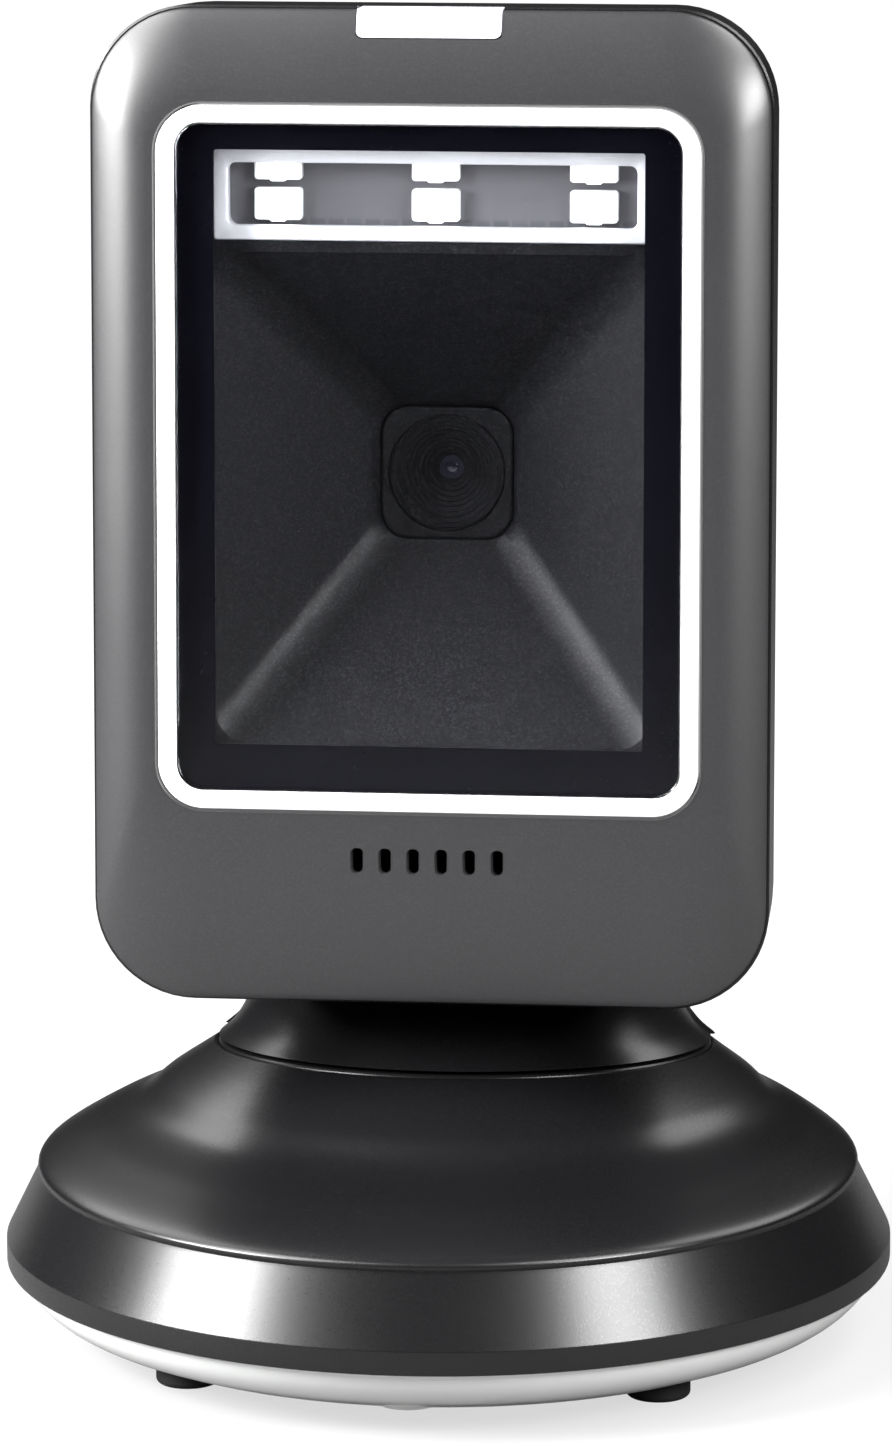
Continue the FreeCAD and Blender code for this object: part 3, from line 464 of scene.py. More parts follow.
@dataclass(frozen=True)
class Moulded:
    """Moulded or painted plastic, rubber or foam with a fine grain."""

    slot: str
    colour: Colour
    roughness: float = 0.45
    metal: float = 0.0
    specular: float = 0.5
    grain: float = 0.25
    relief: float = 0.004
    spread: float = 0.12
    flecks: float = 0.0
    fleck_colour: Colour = (0.35, 0.35, 0.37)
    film: float = 0.06
    coat: float = 0.0
    glow: float = 0.0

    def make(self, effects: Effects) -> bpy.types.Material:
        """Return the material."""
        bench = Bench(self.slot)
        grain = bench.place(effects.fine_grain, Scale=1.0 / (self.grain * MM), Roughness=self.roughness,
                            Spread=self.spread)
        film = bench.place(effects.handling_film, Amount=self.film, Roughness=grain.outputs["Roughness"])
        flecks = bench.place(effects.metal_flecks, Scale=1.3 / (self.grain * MM), Amount=self.flecks,
                             Colour=(*self.colour, 1.0), Fleck_Colour=(*self.fleck_colour, 1.0))
        bench.tree.links.new(film.outputs["Roughness"], bench.shader.inputs["Roughness"])
        bench.tree.links.new(flecks.outputs["Colour"], bench.shader.inputs["Base Color"])
        bench.bump(grain.outputs["Height"], self.relief)
        bench.shader.inputs["Metallic"].default_value = self.metal
        bench.shader.inputs["Specular IOR Level"].default_value = self.specular
        bench.shader.inputs["Coat Weight"].default_value = self.coat
        bench.shader.inputs["Coat Roughness"].default_value = 0.1
        if self.glow:
            bench.shader.inputs["Emission Color"].default_value = (*self.colour, 1.0)
            bench.shader.inputs["Emission Strength"].default_value = self.glow
        return bench.material


@dataclass(frozen=True)
class Metal:
    """Turned, stamped or ground metal."""

    slot: str
    colour: Colour
    roughness: float = 0.3
    relief: float = 0.003

    def make(self, effects: Effects) -> bpy.types.Material:
        """Return the material."""
        bench = Bench(self.slot)
        lines = bench.place(effects.brushed_lines, Roughness=self.roughness, Spread=0.18)
        tone = bench.place(effects.metal_flecks, Scale=900.0, Amount=0.25, Colour=(*self.colour, 1.0),
                           Fleck_Colour=(*(c * 0.7 for c in self.colour), 1.0))
        bench.tree.links.new(lines.outputs["Roughness"], bench.shader.inputs["Roughness"])
        bench.tree.links.new(tone.outputs["Colour"], bench.shader.inputs["Base Color"])
        bench.bump(lines.outputs["Height"], self.relief)
        bench.shader.inputs["Metallic"].default_value = 1.0
        return bench.material


@dataclass(frozen=True)
class Board:
    """Printed circuit board with a solder mask over copper runs."""

    slot: str
    colour: Colour
    copper: Colour
    roughness: float = 0.35

    def make(self, effects: Effects) -> bpy.types.Material:
        """Return the material."""
        bench = Bench(self.slot)
        tree = bench.tree
        where = tree.nodes.new("ShaderNodeTexCoord")
        runs = tree.nodes.new("ShaderNodeTexBrick")
        runs.inputs["Scale"].default_value = 260.0
        runs.inputs["Mortar Size"].default_value = 0.05
        runs.inputs["Color1"].default_value = (*self.colour, 1.0)
        runs.inputs["Color2"].default_value = (*(c * 0.82 for c in self.colour), 1.0)
        runs.inputs["Mortar"].default_value = (*self.copper, 1.0)
        tree.links.new(where.outputs["Object"], runs.inputs["Vector"])
        grain = bench.place(effects.fine_grain, Scale=3000.0, Roughness=self.roughness, Spread=0.1)
        tree.links.new(runs.outputs["Color"], bench.shader.inputs["Base Color"])
        tree.links.new(grain.outputs["Roughness"], bench.shader.inputs["Roughness"])
        bench.bump(runs.outputs["Fac"], 0.02)
        return bench.material


@dataclass(frozen=True)
class Clear:
    """Clear glass that lets light fall through to what is behind it."""

    slot: str
    colour: Colour
    ior: float = 1.45

    def make(self, effects: Effects) -> bpy.types.Material:
        """Return the material."""
        bench = Bench(self.slot)
        tree = bench.tree
        film = bench.place(effects.handling_film, Amount=0.02, Roughness=0.012)
        tree.links.new(film.outputs["Roughness"], bench.shader.inputs["Roughness"])
        bench.shader.inputs["Base Color"].default_value = (*self.colour, 1.0)
        bench.shader.inputs["IOR"].default_value = self.ior
        bench.shader.inputs["Transmission Weight"].default_value = 1.0
        rays = tree.nodes.new("ShaderNodeLightPath")
        passing = tree.nodes.new("ShaderNodeBsdfTransparent")
        passing.inputs["Color"].default_value = (*self.colour, 1.0)
        mix = tree.nodes.new("ShaderNodeMixShader")
        output = tree.nodes["Material Output"]
        tree.links.new(rays.outputs["Is Shadow Ray"], mix.inputs["Fac"])
        tree.links.new(bench.shader.outputs["BSDF"], mix.inputs[1])
        tree.links.new(passing.outputs["BSDF"], mix.inputs[2])
        tree.links.new(mix.outputs["Shader"], output.inputs["Surface"])
        return bench.material


FINISHES = (
    Moulded("charcoal_plastic", (0.004, 0.004, 0.0045), roughness=0.29, specular=0.55, grain=0.15,
            flecks=0.008),
    Moulded("bezel_plastic", (0.020, 0.0195, 0.021), roughness=0.35, specular=0.8, grain=0.15, flecks=0.03),
    Moulded("white_plastic", (0.84, 0.85, 0.84), roughness=0.22, grain=0.6, relief=0.001, coat=0.3),
    Moulded("black_plastic", (0.0012, 0.0012, 0.0018), roughness=0.42, specular=0.10, grain=0.2,
            relief=0.001, flecks=0.05),
    Moulded("black_rubber", (0.018, 0.018, 0.019), roughness=0.7, grain=0.3, relief=0.02, specular=0.3),
    Moulded("black_foam", (0.012, 0.012, 0.012), roughness=0.95, grain=0.3, relief=0.12, specular=0.1),
    Moulded("ring_plastic", (0.90, 0.90, 0.90), roughness=0.2, grain=0.8, relief=0.001, coat=0.5, glow=0.65),
    Moulded("status_plastic", (0.74, 0.73, 0.80), roughness=0.34, grain=0.5, relief=0.002, glow=0.16),
    Moulded("mask_ink", (0.001, 0.001, 0.002), roughness=0.3, specular=0.05, grain=0.5, relief=0.001),
    Moulded("silver_plastic", (0.62, 0.62, 0.64), roughness=0.34, metal=0.55, grain=0.3, relief=0.003),
    Moulded("lamp_lens", (1.0, 1.0, 0.98), roughness=0.3, grain=0.3, relief=0.004, glow=1.4),
    Moulded("chip_black", (0.02, 0.02, 0.021), roughness=0.5, grain=0.2, relief=0.01),
    Moulded("flex_amber", (0.42, 0.19, 0.035), roughness=0.3, grain=0.5, relief=0.003, coat=0.4),
    Moulded("lens_glass", (0.012, 0.012, 0.02), roughness=0.06, specular=0.9, relief=0.0005, coat=1.0),
    Metal("contact_gold", (0.83, 0.60, 0.24), roughness=0.25),
    Metal("screw_steel", (0.42, 0.42, 0.43), roughness=0.32),
    Metal("spring_steel", (0.55, 0.55, 0.56), roughness=0.28),
    Metal("ballast_steel", (0.30, 0.30, 0.30), roughness=0.45, relief=0.01),
    Board("board_green", (0.012, 0.10, 0.035), (0.03, 0.16, 0.06)),
    Board("lamp_board", (0.055, 0.055, 0.06), (0.075, 0.073, 0.078)),
    Clear("window_glass", (0.97, 0.98, 1.0)),
)


class Workshop:
    """Holds the materials, and hands every finished piece to its body."""

    def __init__(self) -> None:
        """Make every finish once."""
        effects = Effects()
        self.materials = {finish.slot: finish.make(effects) for finish in FINISHES}

    def deliver(self, piece: bpy.types.Object, slot: str, body: Body, *nodes: str) -> bpy.types.Object:
        """Dress a piece, put it on its body and hide the frame's nodes that it replaces.

        Args:
            piece: The finished piece.
            slot: The record's material slot that it takes its finish from.
            body: The body it rides on.
            *nodes: The frame's nodes that it replaces.

        Returns:
            The same piece.
        """
        piece.data.materials.clear()
        piece.data.materials.append(self.materials[slot])
        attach(piece, body.value)
        if nodes:
            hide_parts(*nodes)
        LOG.info("%s: %d faces, %s, on %s", piece.name, len(piece.data.polygons), slot, body.value)
        return piece

    def dress_frame(self) -> None:
        """Give each node of the frame that still shows the material of its own slot."""
        for name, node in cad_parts.items():
            if node.hide_render:
                continue
            for holder in node.material_slots:
                slot = holder.material.name.split(".")[0]
                holder.link = "OBJECT"
                holder.material = self.materials[slot]
                LOG.info("%s keeps its shape, %s", name, slot)


# --- the base ---------------------------------------------------------------------------------------------
@dataclass
class Base:
    """The flaring cover of the weighted base."""

    radius: float = 47.5
    wall: float = 2.4
    low: float = 8.0
    lip_top: float = 10.6
    chamfer_top: float = 17.9
    chamfer_width: float = 3.6
    shoulder_rise: float = 9.5
    seam_radius: float = 27.0
    bore_radius: float = 19.0
    lean: float = 5.5
    jack_half_width: float = 5.4
    jack_low: float = 10.5
    jack_high: float = 18.7
    stations: list = field(default_factory=lambda: [
        (0.0, 0.0, 0.0), (0.02, 0.14, 0.0), (0.275, 0.35, 0.05), (0.54, 0.515, 0.2),
        (0.70, 0.71, 0.45), (0.85, 0.86, 0.75), (1.0, 1.0, 1.0)])

    @property
    def shoulder(self) -> float:
        """Radius where the chamfer meets the bell."""
        return self.radius - self.chamfer_width

    def bell_ring(self, row: tuple[float, float, float], inset: float) -> Ring:
        """Return one round section of the bell; all sections share an upright back line."""
        share, rise, lean = row
        radius = blend_number(self.shoulder, self.seam_radius, share)
        tilt = Matrix.Rotation(math.radians(-self.lean * lean), 4, "X")
        centre = Vector((0, self.shoulder - radius, self.chamfer_top + self.shoulder_rise * rise - inset))
        return [tilt @ point + centre for point in oval_ring(radius - inset, radius - inset, 0.0)]

    def build(self, shop: Workshop) -> None:
        """Build the cover and its jack opening, and dress it."""
        rows = through(self.stations, 9)
        skirt = rounded_path([(self.radius - self.wall, self.low), (self.radius, self.low),
                              (self.radius, self.lip_top), (self.shoulder, self.chamfer_top)],
                             [0.3, 0.45])
        outer = [oval_ring(r, r, z) for r, z in skirt]
        crease = outer.pop()
        outer.append([low.lerp(top, 0.96) for low, top in zip(outer[-1], crease)])
        outer += [self.bell_ring(row, 0.0) for row in rows[1:]]
        seam = outer.pop()
        hub = sum(seam, Vector()) / len(seam)
        normal = Matrix.Rotation(math.radians(-self.lean), 4, "X") @ Vector((0, 0, 1))
        top_edge = []
        for inward, down in ((0.0, 0.55), (0.05, 0.28), (0.2, 0.1), (0.55, 0.0)):
            share = 1.0 - inward / self.seam_radius
            top_edge.append([hub + (point - hub) * share - normal * down for point in seam])
        outer[-1] = [below.lerp(edge, 0.5) for below, edge in zip(outer[-1], top_edge[0])]
        bore = self.bore_radius / self.seam_radius
        bore_top = [hub + (point - hub) * bore for point in seam]
        bore_low = [point - normal * self.wall for point in bore_top]
        inner = [self.bell_ring(row, self.wall) for row in reversed(rows)]
        inner.append(oval_ring(self.radius - self.wall, self.radius - self.wall, self.lip_top))
        rings = outer + top_edge + [bore_top, bore_low] + inner
        cover = skin("base_cover_shell", rings, Ends.LOOPED)
        mouth = rounded_ring(2 * self.jack_half_width, self.jack_high - self.jack_low, 0.6, 0.0,
                             (self.jack_high + self.jack_low) / 2, arc=4, side=2)
        tool = skin("jack_mouth", [[p + Vector((0, y, 0)) for p in mouth] for y in (39.0, 49.0)], Ends.CAPPED)
        carve(cover, tool, Carve.CUT)
        smooth(cover, 26.0)
        shop.deliver(cover, "charcoal_plastic", Body.BASE, "base_cover")


# --- the neck ---------------------------------------------------------------------------------------------
@dataclass
class Neck:
    """The two covers of the leaning neck, round at the seam and flat at the tilt barrel."""

    seam_radius: float = 27.0
    seam_gap: float = 0.3
    wall: float = 1.8
    waist: float = 22.5
    split: float = 4.5
    proud: float = 0.6
    barrel_radius: float = 11.5
    lean: float = 5.5
    seam: tuple[float, float] = (16.9, 27.4)
    hinge: tuple[float, float] = (15.5, 52.0)
    screw_half_pitch: float = 5.5
    screw_drop: float = 11.0

    def __post_init__(self) -> None:
        """Work out where the neck's own frame stands and where the barrel is in it."""
        tilt = Matrix.Rotation(math.radians(-self.lean), 4, "X")
        self.place = Matrix.Translation((0, *self.seam)) @ tilt
        self.barrel = self.place.inverted() @ Vector((0, *self.hinge))

    def stations(self) -> list[tuple[float, float, float, float]]:
        """Share of the height, half width, half depth and how far the rear cover stands proud."""
        seam, waist, barrel = self.seam_radius, self.waist, self.barrel_radius
        return [(0.0, seam, seam, 1.0), (0.08, seam - 2.0, seam - 2.4, 1.0),
                (0.22, seam - 3.7, seam - 6.2, 0.6),
                (0.40, waist + 0.3, barrel + 5.0, 0.0), (0.62, waist - 0.4, barrel + 1.0, 0.0),
                (0.84, waist - 0.8, barrel - 0.8, 0.0), (1.0, waist - 1.0, barrel - 1.8, 0.0)]

    def column(self, name: str, inset: float, step: float, drop: float = 0.0) -> bpy.types.Object:
        """Return the column and the barrel as one solid.

        Args:
            name: The solid's name.
            inset: How far it lies inside the outer form.
            step: How far it stands proud near the seam.
            drop: How far it runs on below the seam.

        Returns:
            The solid, in the neck's place.
        """
        rings = []
        reach = self.barrel.z - self.seam_gap
        for share, half_x, half_y, proud in through(self.stations(), 6):
            grow = step * proud - inset
            shift = self.barrel.y * min(1.0, share * 1.6)
            rings.append(oval_ring(half_x + grow, half_y + grow, self.seam_gap + reach * share, shift))
        if not inset:
            first = rings[0]
            hub = sum(first, Vector()) / len(first)
            rings[0] = [p.lerp(hub, 0.012) for p in first]
            rings.insert(1, [p.lerp(q, 0.45) for p, q in zip(first, rings[1])])
        if drop:
            rings.insert(0, [point - Vector((0, 0, drop)) for point in rings[0]])
        column = skin(name, rings, Ends.CAPPED, self.place)
        half = self.waist - inset
        radius = self.barrel_radius - inset
        profile = rounded_path([(radius - 2, -half), (radius, -half), (radius, half), (radius - 2, half)],
                               [0.6, 0.6], 3)
        barrel = skin("barrel", [cross_ring(r, x, self.barrel.y, self.barrel.z) for r, x in profile],
                      Ends.CAPPED, self.place)
        return carve(column, barrel, Carve.JOIN)

    def build(self, shop: Workshop) -> None:
        """Build both covers and dress them."""
        far = 60.0
        for name, node, step, low, high in (
                ("neck_front_shell", "neck_front_cover", 0.0, -far, self.split),
                ("neck_rear_shell", "neck_rear_cover", self.proud, self.split, far)):
            cover = self.column(name, 0.0, step)
            carve(cover, self.column("cavity", self.wall, 0.0, drop=2.0), Carve.CUT)
            carve(cover, block("half", (-far, low, -far), (far, high, far), self.place), Carve.KEEP)
            bore = [cross_ring(2.3, x, self.barrel.y, self.barrel.z) for x in (-far, far)]
            carve(cover, skin("shaft_hole", bore, Ends.CAPPED, self.place), Carve.CUT)
            if step:
                self.cut_screw_seats(cover)
            smooth(cover, 30.0)
            shop.deliver(cover, "charcoal_plastic", Body.NECK, node)

    def cut_screw_seats(self, cover: bpy.types.Object) -> None:
        """Cut the two sunk seats for the rear cover's screws."""
        z = self.barrel.z - self.screw_drop
        for x in (-self.screw_half_pitch, self.screw_half_pitch):
            carve(cover, screw_tool("seat", x, z, (5.0, 60.0), self.place), Carve.CUT)


# --- the head ---------------------------------------------------------------------------------------------
@dataclass
class HeadShells:
    """The front bezel, the rear housing and the status light in the top edge."""

    width: float = 71.0
    height: float = 104.4
    depth: float = 42.0
    corner: float = 10.6
    wall: float = 2.0
    lean: float = 2.5
    face: tuple[float, float] = (-16.6, 96.9)
    drop: float = 5.4
    rise: float = 2.4
    parting: float = 3.2
    inset: float = 0.3
    window: tuple[float, float, float] = (56.4, 73.4, 4.8)
    groove: float = 0.16
    seat_depth: float = 3.4
    ledge: tuple[float, float, float] = (45.9, 63.3, 0.6)
    ledge_rise: float = 1.0
    ledge_thickness: float = 1.2
    cavity_shares: tuple[float, float] = (0.66, 0.56)
    hinge: tuple[float, float] = (15.5, 52.0)
    barrel_radius: float = 12.45
    pocket_slope: float = 31.0
    barrel_half: float = 23.5
    posts: tuple = ((26.25, 42.0), (30.75, -22.6))
    slot_count: int = 6
    slot_pitch: float = 2.94
    slot_size: tuple[float, float] = (1.1, 2.5)
    slot_drop: float = 42.0
    status_size: tuple[float, float, float] = (15.0, 3.1, 0.7)
    status_far: float = 6.5
    post_seat: float = 15.5

    def __post_init__(self) -> None:
        """Work out where the head's own frame stands and where the tilt axis is in it."""
        tilt = Matrix.Rotation(math.radians(-self.lean), 4, "X")
        self.place = Matrix.Translation((0, *self.face)) @ tilt
        self.axis = self.place.inverted() @ Vector((0, *self.hinge))

    def face_ring(self, share: float, grow: float, depth: float) -> Ring:
        """Outline between the window's surround (share 0) and the bezel's outer edge (share 1)."""
        near_w, near_h, near_corner = self.window
        width = blend_number(near_w + 2, self.width - 2 * self.inset, share) + 2 * grow
        height = blend_number(near_h + 2, self.height - 2 * self.inset, share) + 2 * grow
        corner = blend_number(near_corner + 1, self.corner, share) + grow
        return rounded_ring(width, height, corner, depth, -self.drop * share, arc=14, side=14)

    def face_rings(self, grow: float, shift: float) -> list[Ring]:
        """Rings over the crowned face, from the window's surround to the rounded outer edge."""
        rings = [self.face_ring(step / 14, grow, shift + self.rise * (step / 14) ** 2) for step in range(14)]
        for share, depth in ((0.965, self.rise * 0.94), (0.985, self.rise * 0.985), (0.997, self.rise * 1.03)):
            rings.append(self.face_ring(share, grow, shift + depth))
        rings.append(self.face_ring(1.0, grow, shift + self.rise + 0.35))
        return rings

    def window_ring(self, gap: float, depth: float) -> Ring:
        """Outline of the window's surround, grown by a gap."""
        width, height, corner = self.window
        return rounded_ring(width + 2 * gap, height + 2 * gap, corner + gap, depth, 0.0, arc=14, side=14)

    def status_tool(self, name: str, gap: float) -> bpy.types.Object:
        """Return the notch in the middle of the top edge as a solid."""
        width, height, corner = self.status_size
        top = self.height / 2 - self.drop
        low = top - height - gap
        middle = (low + top + 4) / 2
        size = (width + 2 * gap, 2 * (middle - low), corner)
        rings = [rounded_ring(*size, depth, middle, arc=6, side=2) for depth in (-3.0, self.status_far + gap)]
        return skin(name, rings, Ends.CAPPED, self.place)

    def slots_tool(self) -> bpy.types.Object:
        """Return the sound slots, a little wider at the face, as solids."""
        width, height = self.slot_size
        sets = []
        for index in range(self.slot_count):
            x = (index - (self.slot_count - 1) / 2) * self.slot_pitch
            rings = []
            for depth, grow in ((-1.5, 0.34), (0.18, 0.14), (0.5, 0.0), (4.5, 0.0)):
                ring = rounded_ring(width + 2 * grow, height + 2 * grow, width * 0.42 + grow, depth,
                                    -self.slot_drop, arc=5, side=2)
                rings.append([point + Vector((x, 0, 0)) for point in ring])
            sets.append(rings)
        return skins("slots", sets, Ends.CAPPED, self.place)

    def build_bezel(self, shop: Workshop) -> None:
        """Build the front bezel with its window opening, slots and status notch."""
        lip = [self.window_ring(self.groove, self.seat_depth), self.window_ring(self.groove, 0.35),
               self.window_ring(self.groove + 0.06, 0.14), self.window_ring(self.groove + 0.2, 0.03)]
        outer = self.face_rings(0.0, 0.0)
        edge = [self.face_ring(1.0, 0.0, self.parting - 0.12), self.face_ring(1.0, -0.1, self.parting)]
        back = [self.face_ring(1.0, -self.wall, self.parting)]
        inside = [self.face_ring(share, -self.wall, self.wall + self.rise * share ** 2)
                  for share in self.cavity_shares]
        ledge_far = self.seat_depth + self.ledge_thickness
        seat = [self.window_ring(2.0, self.parting - 0.3), self.window_ring(2.0, ledge_far)]
        for depth in (ledge_far, self.seat_depth):
            seat.append(rounded_ring(*self.ledge, depth, self.ledge_rise, arc=14, side=14))
        bezel = skin("front_bezel_shell", lip + outer + edge + back + inside + seat, Ends.LOOPED, self.place)
        carve(bezel, self.slots_tool(), Carve.CUT)
        carve(bezel, self.status_tool("notch", 0.12), Carve.CUT)
        smooth(bezel, 30.0)
        shop.deliver(bezel, "bezel_plastic", Body.HEAD, "front_bezel")

    def build_status(self, shop: Workshop) -> None:
        """Build the translucent light bar that wraps the top edge."""
        rings = self.face_rings(0.1, -0.1)
        rings.append(self.face_ring(1.0, 0.1, self.status_far - 0.1))
        bar = skin("status_light_bar", rings, Ends.CAPPED, self.place)
        carve(bar, self.status_tool("bar_limits", 0.0), Carve.KEEP)
        smooth(bar, 30.0)
        soften(bar, 0.16)
        shop.deliver(bar, "status_plastic", Body.HEAD, "status_light")

    def housing_rings(self, inset: float, near: float, far: float) -> list[Ring]:
        """Rings of the tapering housing from its front edge to its back face."""
        rings = []
        for share, taper in through([(0.0, 0.0), (0.4, 1.2), (0.75, 4.5), (0.93, 11.0), (1.0, 17.0)], 7):
            shrink = 2 * inset + taper
            corner = self.corner - inset + taper * 0.2
            rings.append(rounded_ring(self.width - shrink, self.height - shrink, corner,
                                      blend_number(near, far, share), -self.drop, arc=14, side=14))
        return rings

    def pocket_tool(self, name: str, grow: float) -> bpy.types.Object:
        """Return the room for the neck's barrel and for the neck swinging under it."""
        half = self.barrel_half + grow
        radius = self.barrel_radius + grow
        y, z = self.axis.y, self.axis.z
        reach = radius + 30 * math.tan(math.radians(self.pocket_slope))
        outline = [(y + 90, z - 30), (y - reach, z - 30)]
        outline += [(y + radius * math.cos(a), z + radius * math.sin(a))
                    for a in (math.pi * (1 - i / 40) for i in range(41))]
        outline[-1] = (y + radius, z + 0.01)
        outline.append((y + 90, z + 0.01))
        rings = [[Vector((x, *point)) for point in outline] for x in (-half, half)]
        return skin(name, rings, Ends.CAPPED, self.place)

    def build_housing(self, shop: Workshop) -> None:
        """Build the rear housing with its neck pocket and the four sunk screw holes."""
        outer = self.housing_rings(0.0, self.parting + 0.02, self.depth)
        outer[0] = [p.lerp(Vector((0, p.y, -self.drop)), 0.004) for p in outer[0]]
        outer.insert(1, rounded_ring(self.width, self.height, self.corner, self.parting + 0.16,
                                     -self.drop, arc=14, side=14))
        housing = skin("rear_housing_shell", outer, Ends.CAPPED, self.place)
        cavity = self.housing_rings(self.wall, self.parting - 1.0, self.depth - self.wall)
        room = skin("cavity", cavity, Ends.CAPPED, self.place)
        carve(room, self.pocket_tool("pocket_wall", self.wall), Carve.CUT)
        carve(housing, room, Carve.CUT)
        carve(housing, self.pocket_tool("pocket", 0.0), Carve.CUT)
        carve(housing, self.status_tool("notch", 0.12), Carve.CUT)
        for x, z in self.posts:
            for side in (-x, x):
                tool = screw_tool("screw_hole", side, z, (self.post_seat, self.depth + 8.0), self.place)
                carve(housing, tool, Carve.CUT)
        smooth(housing, 30.0)
        shop.deliver(housing, "charcoal_plastic", Body.HEAD, "rear_housing")

    def build(self, shop: Workshop) -> None:
        """Build every shell of the head."""
        self.build_bezel(shop)
        self.build_status(shop)
        self.build_housing(shop)


@dataclass
class WindowTrim:
    """The lit ring round the window and the clear glass inside it."""

    ring: tuple[float, float, float] = (56.4, 73.4, 4.8)
    band: float = 1.77
    inner_corner: float = 2.9
    ring_depth: float = 2.6
    proud: float = 0.3
    gap: float = 0.1
    glass_near: float = 0.1
    glass_far: float = 1.9

    def ring_at(self, inward: float, depth: float) -> Ring:
        """Outline of the ring at a distance in from its outer side."""
        width, height, corner = self.ring
        share = inward / self.band
        return rounded_ring(width - 2 * inward, height - 2 * inward,
                            blend_number(corner, self.inner_corner, share), depth, arc=14)

    def build(self, shop: Workshop, place: Matrix) -> None:
        """Build the ring and the glass, and dress them."""
        top = -self.proud
        path = rounded_path([(0.0, self.ring_depth), (0.0, top),
                             (self.band, top), (self.band, self.ring_depth)],
                            [0.35, 0.3], 5)
        ring = skin("light_ring_band", [self.ring_at(i, d) for i, d in path], Ends.LOOPED, place)
        smooth(ring)
        shop.deliver(ring, "ring_plastic", Body.HEAD, "light_ring")
        inward = self.band + self.gap
        path = [(inward + 0.12, self.glass_near), (inward, self.glass_near + 0.12),
                (inward, self.glass_far - 0.12), (inward + 0.12, self.glass_far)]
        pane = skin("scan_window_pane", [self.ring_at(i, d) for i, d in path], Ends.CAPPED, place)
        smooth(pane)
        shop.deliver(pane, "window_glass", Body.HEAD, "scan_window")


